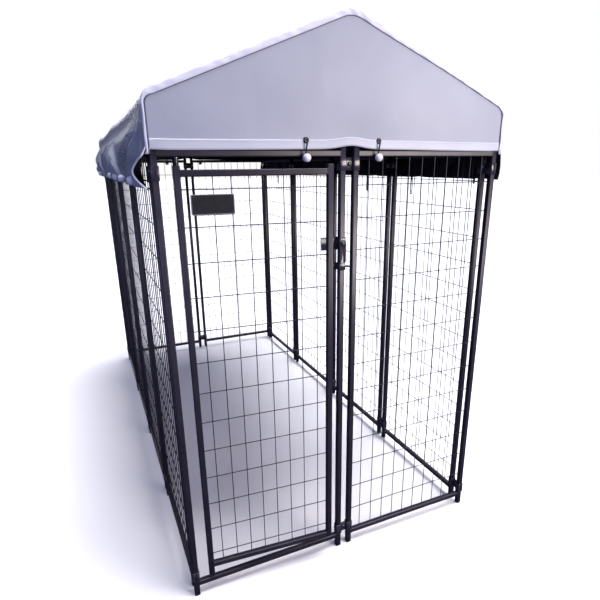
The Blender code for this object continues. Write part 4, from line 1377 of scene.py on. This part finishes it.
@dataclass
class RoofCover:
    """The fitted cover: one sheet over the bows and down both sides, and a gable wall at each end.

    A range is the shares down the drape between which something sets in. An eyelet's ring is pairs
    of radius and place into the cloth.
    """
    shop: Workshop
    cloth: float = 0.0012
    eave_bend: float = 0.040
    ridge_bend: float = 0.100
    bend_steps: int = 16
    hem: float = 1.378
    gable_hem: float = 1.474
    ridge_columns: int = 5
    slope_columns: int = 8
    eave_columns: int = 9
    wall_columns: int = 40
    along: int = 401
    nearer: float = 0.25
    sag: float = 0.009
    slack: float = 0.006
    bulge: float = 0.012
    closest: float = 0.004
    furthest: float = 0.050
    gathered: float = 0.010
    gather_share: float = 0.65
    pull_reach: float = 0.034
    sewn_reach: float = 0.10
    flare_reach: float = 0.045
    curl_reach: float = 0.26
    slack_range: Pair = (0.0, 0.34)
    fold_range: Pair = (0.10, 0.55)
    pull_range: Pair = (0.45, 0.94)
    free_range: Pair = (0.56, 0.80)
    gather_range: Pair = (0.60, 1.0)
    fan_least: float = 0.30
    fan_power: float = 0.7
    fan_reach: float = 0.68
    fan_wander: Pair = (0.22, 6.1)
    plain_spacing: float = 1.35
    ridge_width: float = 0.33
    ridge_change: Pair = (0.14, 9.0)
    gable_columns: int = 121
    gable_rows: int = 61
    hem_band: float = 0.024
    gable_band: float = 0.027
    gable_flare: float = 0.0040
    binding: float = 0.017
    stitch: float = 0.0062
    stitch_radius: float = 0.00045
    eyelet: Pairs = (
        (0.0046, 0.0), (0.0046, -0.0012), (0.0060, -0.0019), (0.0078, -0.0014), (0.0088, -0.0002),
        (0.0088, 0.0004))
    eyelet_sides: int = 20
    eyelet_lift: float = 0.0048
    side_eyelet: float = 0.014

    def __post_init__(self) -> None:
        """Works out the half section from the ridge to the hem, by its length from the ridge."""
        half = SIZES.cover_half
        self.front, self.back = -SIZES.cover_face, SIZES.depth + SIZES.cover_face
        lift = (SIZES.pole + SIZES.seat + 0.002) / math.cos(SIZES.slope)
        self.ridge = SIZES.ridge_height + lift
        self.eave = self.ridge - half * math.tan(SIZES.slope)
        corners = [(-half, 0.0, self.eave), (0.0, 0.0, self.ridge), (half, 0.0, self.eave),
                   (half, 0.0, self.hem)]
        path = rounded_path(np.array(corners), (self.ridge_bend, self.eave_bend), self.bend_steps)
        path = path[path[:, 0] > -1e-6]
        self.path = np.vstack([[[0.0, 0.0, path[0, 2]]], path[path[:, 0] > 1e-5]])
        steps = np.linalg.norm(np.diff(self.path, axis=0), axis=1)
        self.length = np.concatenate([[0.0], np.cumsum(steps)])
        self.reach = float(self.length[-1])
        wall = np.flatnonzero(self.path[:, 0] > half - 1e-6)[0]
        self.wall_start = float(self.length[wall])
        self.gable_run = self.wall_start + (float(self.path[wall, 2]) - self.gable_hem)

    def face(self, end: End) -> float:
        """The outer face of a gable, in Y."""
        return self.front if end is End.FRONT else self.back

    def section(self, run: Array) -> tuple[Array, Array, Array]:
        """The flat section at signed lengths from the ridge: X, Z and the share down the drape."""
        size = np.abs(run)
        x = np.sign(run) * np.interp(size, self.length, self.path[:, 0])
        z = np.interp(size, self.length, self.path[:, 2])
        drape = np.clip((size - self.wall_start) / (self.reach - self.wall_start), 0.0, 1.0)
        return x, z, drape

    def hang(self, y: Array) -> Array:
        """0 at each bow and 1 midway between two: 4 s (1 - s), eased by a power of 1.2."""
        first, middle, last = SIZES.bow_places
        share = np.where(y < middle, (y - first) / (middle - first), (y - middle) / (last - middle))
        return np.clip(4 * share * (1 - share), 0.0, 1.0) ** 1.2

    def folds(self, style: Drape, y: Array, drape: Array) -> Array:
        """Folds that fan out from the tops of the bows to the hem.

        A point at a share q down the drape lies on the ray from its bow at c to the hem place c +
        (y - c) / q ^ power. A ridge is exp(-(sin(turn / 2) / width) ^ 2), narrow in some places and
        broad in others, and each bow's fan fades out half way to the next.

        Args:
            style: how this side hangs.
            y: place along the kennel.
            drape: share down the drape.

        Returns:
            0 in a valley and 1 on a ridge.
        """
        total = np.zeros(np.broadcast(y, drape).shape)
        weight = np.zeros_like(total)
        wander, wander_rate = self.fan_wander
        change, change_rate = self.ridge_change
        spread = np.maximum(drape, self.fan_least) ** self.fan_power
        for centre, spacing in ((0.0, 1.0), (SIZES.bow_places[1], self.plain_spacing),
                                (SIZES.depth, self.plain_spacing)):
            place = centre + (y - centre) / spread
            window = np.clip(1 - np.abs(place - centre) / self.fan_reach, 0.0, 1.0) ** 0.5
            turn = place / style.pitch / spacing
            turn = turn + wander * np.sin(place * wander_rate + style.phase)
            turn = math.tau * turn + style.phase
            width = self.ridge_width + change * np.sin(place * change_rate + 2 * style.phase)
            total += window * np.exp(-(np.sin(turn / 2) / width) ** 2)
            weight += window
        return total / np.maximum(weight, 0.35)

    def pulled(self, style: Drape, y: Array) -> tuple[Array, Array]:
        """How the bungees hold the hem: exp(-(distance / reach) ^ 2) of the nearest one.

        Args:
            style: how this side hangs.
            y: place along the kennel.

        Returns:
            How strongly the hem is held, from 0 to 1, and how far out it is held.
        """
        hold = np.zeros_like(y)
        held = np.zeros_like(y)
        for place, out, _ in style.bungees:
            pull = np.exp(-((y - place) / self.pull_reach) ** 2)
            held = np.where(pull > hold, out, held)
            hold = np.maximum(hold, pull)
        return hold, held

    def hung(self, style: Drape, y: Array, drape: Array) -> tuple[Array, Array, Array]:
        """How far a drape's points move out, up and along the kennel.

        It stands out by its slack, bulge and folds, less where its hem is gathered or a bungee
        holds it. Above the gable's hem it is sewn to the gable. Below, its free edge flares, and
        curls back by a sine of the share down.

        Args:
            style: how this side hangs.
            y: place along the kennel.
            drape: share down the drape.

        Returns:
            The three moves, of the same shape as y.
        """
        hold, held = self.pulled(style, y)
        low = smooth_step(*self.pull_range, drape)
        near = np.minimum(y - self.front, self.back - y)
        sewn = np.exp(-(near / self.sewn_reach) ** 2) * (1 - smooth_step(*self.free_range, drape))
        swell = self.bulge * np.sin(math.pi * np.clip(drape * 1.05, 0, 1)) ** 1.1
        out = self.slack + swell * (0.45 + 0.55 * self.hang(y))
        out = out * smooth_step(*self.slack_range, drape)
        out = out + style.depth * self.folds(style, y, drape) * smooth_step(*self.fold_range, drape)
        gather = smooth_step(*self.gather_range, drape)
        out = out * (1 - self.gather_share * gather) + self.gathered * gather
        out = out * (1 - hold * low) + held * hold * low
        out = np.clip(out, self.closest * smooth_step(0.0, 0.2, drape), self.furthest) * (1 - sewn)
        dip = 0.85 * np.exp(-((near - 0.05) / 0.07) ** 2)
        out = out * (1 - dip * smooth_step(0.55, 0.72, drape))
        lip = np.sin(math.pi * np.clip((drape - 0.5) / 0.5, 0, 1) ** 1.3)
        out = out + style.flare * np.exp(-(near / self.flare_reach) ** 2) * lip
        rise = drape ** 2 * style.scallop * (hold - 0.85 * (1 - hold)) * (1 - sewn)
        arc = np.sin(math.pi * np.clip((drape - 0.586) / 0.414, 0, 1)) ** 1.3
        arc = arc * smooth_step(0.57, 0.66, drape)
        fade = np.exp(-(y - self.front) / self.curl_reach)
        fade = fade - 0.5 * np.exp(-(self.back - y) / self.curl_reach)
        return out, rise, style.curl * arc * fade

    def point(self, run: Array, y: Array, lift: float = 0.0) -> Array:
        """Places on the cover's outer skin.

        The flat section is moved down by the sag between bows, and its drapes are moved as they
        hang.

        Args:
            run: signed length from the ridge across the cover.
            y: place along the kennel.
            lift: how far the places stand off the skin, outwards.

        Returns:
            Points of shape (..., 3).
        """
        run, y = np.broadcast_arrays(run, y)
        x, z, drape = self.section(run)
        slope = np.abs(run) / self.wall_start
        roof = np.clip(1.25 - 0.4 * np.abs(slope - 0.5), 0, 1) * (1 - smooth_step(0.0, 0.9, drape))
        left, right = (self.hung(DRAPES[side], y, drape) for side in Side)
        out, rise, along = (np.where(run < 0, a, b) for a, b in zip(left, right))
        z = z + rise - self.sag * self.hang(y) * roof
        points = np.stack([x + np.sign(run) * out, y + along, z], axis=-1)
        if lift:
            points = points + lift * self.normal(run, y)
        return points

    def normal(self, run: Array, y: Array) -> Array:
        """Outward normals of the skin, from the cross product of steps across and along it."""
        step = 0.002
        across = self.point(run + step, y) - self.point(run - step, y)
        along = self.point(run, y + step) - self.point(run, y - step)
        return unit(np.cross(across, along))

    def patch(self, runs: Array, lift: float = 0.0) -> tuple[Array, Array]:
        """A grid of skin points over the whole length of the cover, from the back to the front.

        Args:
            runs: signed lengths from the ridge.
            lift: how far the grid stands off the skin.

        Returns:
            The points and the cloth's own coordinates, as rows of one run each.
        """
        weave = crossings(runs, self.stations()[::-1])
        return self.point(weave[..., 0], weave[..., 1], lift), weave

    def runs(self) -> Array:
        """Lengths across the cover, close together on the drapes and the bends."""
        start = self.wall_start
        stops = (0.0, 0.5 * self.ridge_bend, start - 1.75 * self.eave_bend, start)
        counts = (self.ridge_columns, self.slope_columns, self.eave_columns)
        parts = [np.linspace(low, high, count, endpoint=False)
                 for low, high, count in zip(stops, stops[1:], counts)]
        half = np.concatenate(parts + [np.linspace(start, self.reach, self.wall_columns)])
        return np.concatenate([-half[:0:-1], half])

    def stations(self) -> Array:
        """Places along the cover at shares (1 - n) t + n t^2, closer together by the door."""
        share = np.linspace(0.0, 1.0, self.along)
        share = (1 - self.nearer) * share + self.nearer * share ** 2
        return self.front + 0.0005 + (self.back - self.front - 0.0010) * share

    def sheet_piece(self, name: str, grids: list[tuple[Array, Array | None]],
                    finishes: list[Material], thickness: float, inside: int = 0,
                    replaces: tuple[str, ...] = ()) -> Piece:
        """Makes a piece of open grids and gives it its thickness inwards.

        Args:
            name: the piece's name.
            grids: points and cloth coordinates, one grid for each finish that shows outside.
            finishes: the piece's materials.
            thickness: the cloth's thickness.
            inside: how many places after the outside's finish the inside's stands.
            replaces: CAD nodes that it stands for.

        Returns:
            The new object.
        """
        shell = Shell()
        for finish, (points, weave) in enumerate(grids):
            shell.grid(points, around=False, ends=False, finish=finish, weave=weave)
        piece = add_piece(name, shell, finishes, replaces, recalculate=False,
                          sharp=180.0)
        wall = piece.modifiers.new("Thickness", "SOLIDIFY")
        wall.thickness = thickness
        wall.offset = -1.0
        wall.material_offset = inside
        wall.material_offset_rim = inside
        return piece

    def roof_sheet(self) -> Piece:
        """The main sheet over the roof and both drapes."""
        return self.sheet_piece("cover_roof_and_drapes", [self.patch(self.runs())],
                                [self.shop.cloth, self.shop.lining], self.cloth, 1, ("roof_cover",))

    def on_gable(self, x: Array, z: Array, end: End, lift: float = 0.0) -> Array:
        """Flat places on a gable, moved out by its waves and its flared hem.

        Args:
            x: places across.
            z: heights.
            end: which gable.
            lift: how far the places stand off it.

        Returns:
            Points of shape (..., 3).
        """
        half = SIZES.cover_half
        roof = np.interp(np.abs(x), self.path[:, 0], self.path[:, 2])
        share = np.clip((z - self.gable_hem) / np.maximum(roof - self.gable_hem, 0.05), 0, 1)
        beside = np.clip((half - np.abs(x)) / 0.05, 0, 1)
        rise = 0.002 * np.cos(math.pi * x / half) + 0.010 * np.exp(-(x / 0.052) ** 2)
        edge = np.clip(1 - (np.abs(x) / half) ** 4, 0, 1) * np.sin(math.pi * share ** 0.8)
        wave = 0.0028 * np.sin(5.1 * x + 0.7) + 0.0018 * np.sin(11.0 * x + 9.0 * z) + 0.0035
        lower = np.clip(1 - (z - self.gable_hem) / (1.6 * self.gable_band), 0, 1)
        out = edge * wave + self.gable_flare * lower ** 2 * beside + lift
        y = self.face(end) + end.value * out
        return np.stack([x, y, z + rise * (1 - share) ** 3 * beside], axis=-1)

    def gable(self, end: End) -> Piece:
        """A gable wall; each of its lines goes from the hem up to the section."""
        runs = np.linspace(-self.gable_run, self.gable_run, self.gable_columns)
        run, share = np.meshgrid(runs, np.linspace(0.0, 1.0, self.gable_rows), indexing="ij")
        x_top, z_top, _ = self.section(run)
        x_low = SIZES.cover_half * np.clip(run / self.gable_run, -1, 1)
        x = x_low + (x_top - x_low) * share
        z = self.gable_hem + (z_top - self.gable_hem) * share
        points = self.on_gable(x, z, end)[::end.value]
        return self.sheet_piece(f"cover_gable_{word(end)}", [(points, points[..., [0, 2]])],
                                [self.shop.cloth, self.shop.lining], self.cloth, 1)

    def gable_band_piece(self, end: End) -> Piece:
        """The doubled hem along a gable's lower edge, in a paler shade of the cloth: a painted
        highlight where light catches it.
        """
        across = np.linspace(-SIZES.cover_half, SIZES.cover_half, self.gable_columns)
        up = self.gable_hem + self.gable_band * np.linspace(-0.01, 1.0, 7)
        x, z = np.meshgrid(across, up, indexing="ij")
        points = self.on_gable(x, z, end, 0.0012)
        points[:, -1, 1] -= end.value * 0.0008
        points = points[::end.value]
        # The hem's paler finish is a painted highlight.
        return self.sheet_piece(f"gable_hem_{word(end)}", [(points, points[..., [0, 2]])],
                                [self.shop.hem, self.shop.lining], 0.0010)

    def gable_edges(self, end: End) -> Piece:
        """White tape over the seam between a gable and the roof, down both upright edges.

        The tape lies along the section, wide on the slopes and narrow on the uprights. It is
        puckered by a sine along its length, its outer edge is wrapped over the roof, and a
        blue-grey strip of painted shadow runs along its inner edge.
        """
        runs = np.linspace(-self.gable_run - 0.012, self.gable_run + 0.012, 201)
        x, z, _ = self.section(runs)
        flat = np.stack([x, z], axis=1)[:, None]
        ahead = unit(np.stack([np.gradient(x), np.gradient(z)], axis=1))
        inward = np.stack([ahead[:, 1], -ahead[:, 0]], axis=1)[:, None]
        base, way = self.face(end), end.value
        upright = smooth_step(self.wall_start - 0.05, self.wall_start, np.abs(runs))
        rolled = 0.6 * smooth_step(0.02, 0.45, runs) * (1 - 0.5 * upright)
        width = (self.binding * (1 - 0.68 * upright) * (1 - rolled))[:, None]
        shares = np.linspace(0.0, 1.0, 7)
        crown = np.sin(math.pi * shares)[None]
        pucker = 0.0010 + 0.0016 * np.exp(-((runs - 0.02) / 0.06) ** 2)
        ripple = (pucker * np.sin(runs * 115.0 + 2 * np.sin(runs * 31.0)))[:, None]
        tape = flat + inward * (width * shares)[..., None]
        out = base + way * (0.0016 + 0.0011 * crown + ripple * crown)
        face = np.stack([tape[..., 0], out, tape[..., 1]], axis=-1)
        over = (base - way * np.linspace(0.007, 0.001, 4)).clip(self.front, self.back)
        points = np.concatenate([self.point(runs[:, None], over[None], 0.0016), face], axis=1)
        across = np.linspace(0, self.binding * 1.6, points.shape[1])
        weave = crossings(runs, across)
        # A blue-grey strip of painted shadow along the tape's inner edge.
        steps = width + np.array([0.0, 0.0012, 0.0024]) * (0.8 + 0.9 * upright[:, None])
        seam = flat + inward * steps[..., None]
        level = np.full_like(steps, base + way * 0.0018)
        line = np.stack([seam[..., 0], level, seam[..., 1]], axis=-1)
        grids = [(points[::-way], weave[::-way]), (line[::-way], None)]
        finishes = [self.shop.tape, self.shop.seam]
        return self.sheet_piece(f"edge_tape_{word(end)}", grids, finishes, 0.0008)

    def drape_hem(self, side: Side) -> Piece:
        """The folded hem along a drape's lower edge, as a thin band that follows the skin."""
        runs = side.value * np.linspace(self.reach - self.hem_band, self.reach, 5)
        return self.sheet_piece(f"drape_hem_{word(side)}", [self.patch(runs[::side.value], 0.0009)],
                                [self.shop.cloth, self.shop.lining], 0.0009)

    def free_edge(self, side: Side, end: End) -> Piece:
        """White tape on the free edge of a drape below the gable's hem, lined on its inner side."""
        runs = side.value * np.linspace(self.gable_run - 0.004, self.reach, 40)
        path = self.point(runs, np.full_like(runs, self.face(end) - end.value * 0.0004))
        outline = rounded_square(0.0023, 0.0010, 2)
        shell = Shell()
        for finish, shift in enumerate((0.0004, -0.0016)):
            shell.grid(carried(outline, path + (side.value * shift, 0.0, 0.0)), finish=finish)
        return add_piece(f"free_edge_tape_{word(side)}_{word(end)}", shell,
                         [self.shop.tape, self.shop.lining])

    def stitches(self, end: End) -> Piece:
        """Two rows of lockstitches along the top and the foot of a gable's hem."""
        x = np.arange(-SIZES.cover_half + 0.02, SIZES.cover_half - 0.02, self.stitch)
        steps = [(-0.0022, 0.25), (-0.0014, 1.0), (0.0014, 1.0), (0.0022, 0.25)]
        form = straight(circle(self.stitch_radius, 5), steps, Axis.X)
        rows = [self.on_gable(x, np.full_like(x, self.gable_hem + inset), end, 0.0014)
                for inset in (self.gable_band - 0.004, 0.004)]
        shell = Shell().grid(form, places=np.vstack(rows))
        return add_piece(f"hem_stitches_{word(end)}", shell, [self.shop.thread])

    def eyelets(self) -> Piece:
        """Black rings round every bungee's hole in the cover."""
        shell = Shell()
        half, high = SIZES.cover_half, self.gable_hem + SIZES.eyelet_rise
        spots = [(Axis.Y, end, (x, self.face(end) + end.value * self.eyelet_lift, high))
                 for end in End for x in GABLE_BUNGEES]
        low = self.hem + self.side_eyelet
        spots += [(Axis.X, side, (side.value * (half + out + SIZES.sunk), y, low))
                  for side in Side for y, out, _ in DRAPES[side].bungees]
        for axis, way, spot in spots:
            ring = [(radius, -way.value * place) for radius, place in self.eyelet]
            shell.grid(turned(ring, self.eyelet_sides, axis, spot), loop=True, ends=False)
        return add_piece("cover_eyelets", shell, [self.shop.foot])

    def build(self) -> None:
        """Makes the cover's pieces."""
        roof = self.roof_sheet()
        trims = [self.drape_hem(side) for side in Side]
        trims += [self.free_edge(side, end) for side in Side for end in End]
        trims.append(self.eyelets())
        for end in End:
            wall = self.gable(end)
            trim = [self.gable_edges(end), self.gable_band_piece(end), self.stitches(end)]


@dataclass
class BallBungees:
    """Moulded balls on elastic loops, through the cover's eyelets and round the rails or the wire.

    The mouth, where the cord goes into a ball, is pairs of radius and place along the ball's axis.
    A strand is how far each half of a loop stands beside its middle.
    """
    shop: Workshop
    ball: float = 0.0125
    ball_sides: int = 28
    ball_latitude: float = 66.0
    mouth: Pairs = ((0.0020, 0.0070), (0.0030, 0.0106))
    cord: float = 0.0023
    cord_sides: int = 10
    strand: float = 0.0027
    off_cover: float = 0.0052
    below_rail: float = 0.003
    side_height: float = 1.392
    inside: float = 0.5655
    loop: float = 0.085
    short_loop: float = 0.030
    lean: float = 0.0022

    def ball_rings(self, centre: Place, axis: Axis) -> Array:
        """A ball at its centre along an axis, with a sunk mouth for the cord at each pole."""
        turn = np.radians(np.linspace(-self.ball_latitude, self.ball_latitude, 15))
        skin = [(self.ball * math.cos(a), self.ball * math.sin(a)) for a in turn]
        low = [(radius, -place) for radius, place in self.mouth]
        return turned([*low, *skin, *self.mouth[::-1]], self.ball_sides, axis, centre)

    def loop_rings(self, route: list[Place]) -> tuple[Array, Array]:
        """The cord along its route, with its own coordinates for the braid."""
        path = flowing(np.array(route), 5)
        run = np.concatenate([[0.0], np.cumsum(np.linalg.norm(np.diff(path, axis=0), axis=1))])
        round_it = np.arange(self.cord_sides) * math.tau * self.cord / self.cord_sides
        weave = crossings(run, round_it)
        return carried(circle(self.cord, self.cord_sides), path), weave

    def gable_bungee(self, x: float, end: End) -> Shell:
        """Through a gable's eyelet, over and round the top rail, and back under it to the ball.

        Args:
            x: where it hangs.
            end: which gable.

        Returns:
            The ball and its loop.
        """
        bend = self.cord + SIZES.seat
        near = -SIZES.cover_face - 2 * self.cord - self.off_cover
        far = SIZES.tube - SIZES.rail_inset
        top, low = SIZES.high_rail_top, SIZES.rail_high + SIZES.rail_inset
        eyelet = top + SIZES.eyelet_rise
        ball_y, ball_z = -self.ball, SIZES.rail_high - self.below_rail
        beside = x - self.strand
        slant = bend * math.sin(math.pi / 4)
        route = [(beside, ball_y, ball_z), (beside, near, ball_z + 0.0205),
                 (x, near - self.cord, eyelet - 0.008), (x, near + self.cord, eyelet),
                 (x, SIZES.tube / 4, eyelet), (x, 0.0175, eyelet - 0.008), (x, far + bend, top),
                 (x, far + bend, low), (x, far + slant, low - slant), (x, far, low - bend),
                 (x, 0.0, low - bend), (x, ball_y, ball_z - self.ball / 3)]
        flip = (1.0, -float(end.value), 1.0)
        shift = (0.0, SIZES.depth if end is End.BACK else 0.0, 0.0)
        rings, weave = self.loop_rings(route)
        shell = Shell().grid(rings * flip + shift, finish=1, weave=weave)
        return shell.grid(self.ball_rings((x, ball_y, ball_z), Axis.Z) * flip + shift)

    def side_bungee(self, side: Side, place: float, out: float, hangs: bool) -> Shell:
        """Through a drape's eyelet and the wire; it hangs as a loop inside, or is drawn in short.

        Args:
            side: which drape.
            place: where it is along the kennel.
            out: how far the drape stands out there.
            hangs: whether its loop hangs.

        Returns:
            The ball and its loop.
        """
        skin = SIZES.cover_half + out
        ball_x = skin + self.ball - 0.0008
        z, inside, gap = self.side_height, self.inside, self.strand
        drop = self.loop if hangs else self.short_loop
        lean = self.lean if hangs else 0.0
        run = [(ball_x, gap, z), (skin, gap, z), (SIZES.half_width, gap, z),
               (inside + 0.008, gap, z - 0.001), (inside, gap, z - min(0.008, drop / 3)),
               (inside - lean, gap * 0.8, z - drop * 0.5), (inside - lean, gap, z - drop * 0.85),
               (inside - lean, gap * 0.6, z - drop * 0.97)]
        back = [(a + (2 * lean if c < z - 0.009 else 0.0), -b, c) for a, b, c in reversed(run)]
        every = [*run, (inside, 0.0, z - drop), *back]
        route = [(side.value * a, place + b, c) for a, b, c in every]
        rings, weave = self.loop_rings(route)
        shell = Shell().grid(rings, finish=1, weave=weave)
        return shell.grid(self.ball_rings((side.value * ball_x, place, z), Axis.X))

    def build(self) -> None:
        """Makes every bungee on the kennel's body; eight of them stand for CAD nodes."""
        parts = [(word(end), k, self.gable_bungee(x, end), k)
                 for end in End for k, x in enumerate(GABLE_BUNGEES, 1)]
        for side in Side:
            for k, (place, out, node) in enumerate(DRAPES[side].bungees, 1):
                hangs = bool(node) or (side is Side.RIGHT and k > 1)
                parts.append((word(side), k, self.side_bungee(side, place, out, hangs), node))
        for wall, k, shell, node in parts:
            nodes = (f"bungee_{wall}_{node}",) if node else ()
            add_piece(f"ball_bungee_{wall}_{k}", shell, [self.shop.ball, self.shop.cord],
                      nodes, sharp=60.0)


@dataclass(frozen=True)
class Light:
    """A soft light: a square lamp where it has a place, and otherwise a sun.

    A lamp's aim is the place that it faces, and its spread is its side in metres. A sun's aim is
    the way that its light goes, and its spread is its angle in degrees.
    """
    name: str
    power: float
    spread: float
    aim: Place
    colour: str = "#ffffff"
    place: Place | None = None


@dataclass
class Studio:
    """The pale floor, the soft lights and the camera that took the photograph's view."""
    floor_colour: str = "#fbfafc"
    floor_bounce: str = "#45475a"
    floor_radius: float = 60.0
    floor_drop: float = 0.0002
    floor_sides: int = 64
    backdrop: str = "#ffffff"
    sky_colour: str = "#b9c4ff"
    sky_low: float = 0.03
    sky_high: float = 0.42
    sky_from: float = -0.7
    bright_side: Place = (0.75, -0.45, 0.45)
    lights: tuple[Light, ...] = (
        Light("top_light", 4.6, 38.0, (-0.22, 0.05, -1.0), "#fcfbff"),
        Light("left_light", 0.74, 8.0, (0.40, 0.88, -0.25), "#b8c4ff"),
        Light("back_light", 0.5, 20.0, (0.05, -1.0, -0.30)),
        Light("key_light", 69.0, 1.3, (0.3, 0.0, 1.4), "#fff1eb", (1.55, -2.15, 1.70)))
    camera_place: Place = (-0.763871, -1.373195, 1.432211)
    yaw: float = math.radians(24.477)
    pitch: float = math.radians(18.176)
    roll: float = math.radians(-0.497)
    focal_pixels: float = 486.685
    middle: Pair = (310.122, 324.698)
    picture: float = 600.0
    sensor: float = 36.0
    far_clip: float = 300.0

    def floor(self) -> None:
        """A round floor on the ground, with rings that widen outwards."""
        radii = np.concatenate([[0.01], np.geomspace(0.3, self.floor_radius, 24)])
        rings = [(-self.floor_drop, circle(radius, self.floor_sides)) for radius in radii]
        shell = Shell().grid(layers(Axis.Z, rings))
        # The last face would close the outer ring, as a second floor over all the others.
        shell.faces.pop()
        shell.finish.pop()
        mesh = shell.mesh("studio_floor", HOME, False, 60.0)
        if mesh.polygons[0].normal.z < 0:
            mesh.flip_normals()
        mesh.materials.append(self.floor_finish())
        stand("studio_floor", mesh)

    def two_ways(self, tree: NodeTree, seen: Node, thrown: Node, output: str) -> None:
        """Joins two shaders to the output.

        Args:
            tree: the node tree.
            seen: what the camera sees.
            thrown: what lights the kennel.
            output: the type name of the output node.
        """
        rays = add_node(tree, "ShaderNodeLightPath")
        mixed = add_node(tree, "ShaderNodeMixShader", links={
            0: rays.outputs["Is Camera Ray"], 1: thrown.outputs[0], 2: seen.outputs[0]})
        add_node(tree, output, links={"Surface": mixed.outputs[0]})

    def floor_finish(self) -> Material:
        """A pale matt floor, which throws back less light on the kennel than it shows."""
        material = bpy.data.materials.new("pale_matt_floor")
        material.use_nodes = True
        tree = material.node_tree
        tree.nodes.clear()
        seen, thrown = (add_node(tree, "ShaderNodeBsdfDiffuse", {"Color": linear(colour)})
                        for colour in (self.floor_colour, self.floor_bounce))
        self.two_ways(tree, seen, thrown, "ShaderNodeOutputMaterial")
        return material

    def sky(self) -> None:
        """A plain world: white to the camera, and a soft light that is stronger on one side.

        The light's strength follows the dot product of its direction and the bright side's.
        """
        world = bpy.data.worlds.new("studio_world")
        world.use_nodes = True
        tree = world.node_tree
        tree.nodes.clear()
        seen = add_node(tree, "ShaderNodeBackground", {"Color": linear(self.backdrop)})
        way = add_node(tree, "ShaderNodeTexCoord")
        bright = unit(np.array(self.bright_side)).tolist()
        side = add_node(tree, "ShaderNodeVectorMath", {1: bright}, {0: way.outputs["Generated"]},
                        operation="DOT_PRODUCT")
        span = add_node(tree, "ShaderNodeMapRange", {
            "From Min": self.sky_from, "To Min": self.sky_low, "To Max": self.sky_high},
                        {"Value": side.outputs["Value"]})
        light = add_node(tree, "ShaderNodeBackground", {"Color": linear(self.sky_colour)},
                         {"Strength": span.outputs["Result"]})
        self.two_ways(tree, seen, light, "ShaderNodeOutputWorld")
        bpy.context.scene.world = world

    def light(self, spec: Light) -> None:
        """Adds a light, turned to look along (x, y, z) by acos(-z) and then atan2(-x, y)."""
        is_lamp = spec.place is not None
        light = bpy.data.lights.new(spec.name, "AREA" if is_lamp else "SUN")
        light.energy = spec.power
        light.color = linear(spec.colour)[:3]
        if is_lamp:
            light.shape, light.size = "SQUARE", spec.spread
        else:
            light.angle = math.radians(spec.spread)
        here = np.array(spec.place if is_lamp else (0.0, 0.0, 0.0))
        way = unit(np.array(spec.aim) - here)
        lamp = stand(spec.name, light)
        lamp.location = here + (0.0, FRONT_FACE, 0.0)
        lamp.rotation_euler = (math.acos(-way[2]), 0.0, math.atan2(-way[0], way[1]))

    def camera(self) -> None:
        """The photograph's camera: lens = focal length in pixels / picture * sensor."""
        lens = bpy.data.cameras.new("photo_camera")
        lens.sensor_width = self.sensor
        lens.lens = self.focal_pixels / self.picture * self.sensor
        lens.shift_x = (self.picture / 2 - self.middle[0]) / self.picture
        lens.shift_y = (self.middle[1] - self.picture / 2) / self.picture
        lens.clip_end = self.far_clip
        camera = stand("photo_camera", lens)
        x, y, z = self.camera_place
        turns = ((-self.yaw, "Z"), (math.pi / 2 - self.pitch, "X"), (self.roll, "Z"))
        matrix = Matrix.Translation((x, y + FRONT_FACE, z))
        for angle, axis in turns:
            matrix = matrix @ Matrix.Rotation(angle, 4, axis)
        camera.matrix_world = matrix
        bpy.context.scene.camera = camera

    def build(self) -> None:
        """Makes the floor, the lights and the camera."""
        bpy.context.scene.view_settings.view_transform = "Standard"
        self.floor()
        self.sky()
        for spec in self.lights:
            self.light(spec)
        self.camera()


def main() -> None:
    logging.basicConfig(level=logging.INFO, format="%(message)s")
    shop = Workshop()
    work = TubeWork()
    door = Door(work, shop)
    Studio().build()
    Panels(work, shop).build()
    door.build()
    SignPlate(shop, door).build()
    SaddleClamps(shop).build()
    TurnLatch(shop).build()
    RoofPoles(shop).build()
    RoofCover(shop).build()
    BallBungees(shop).build()


if __name__ == "__main__":
    main()
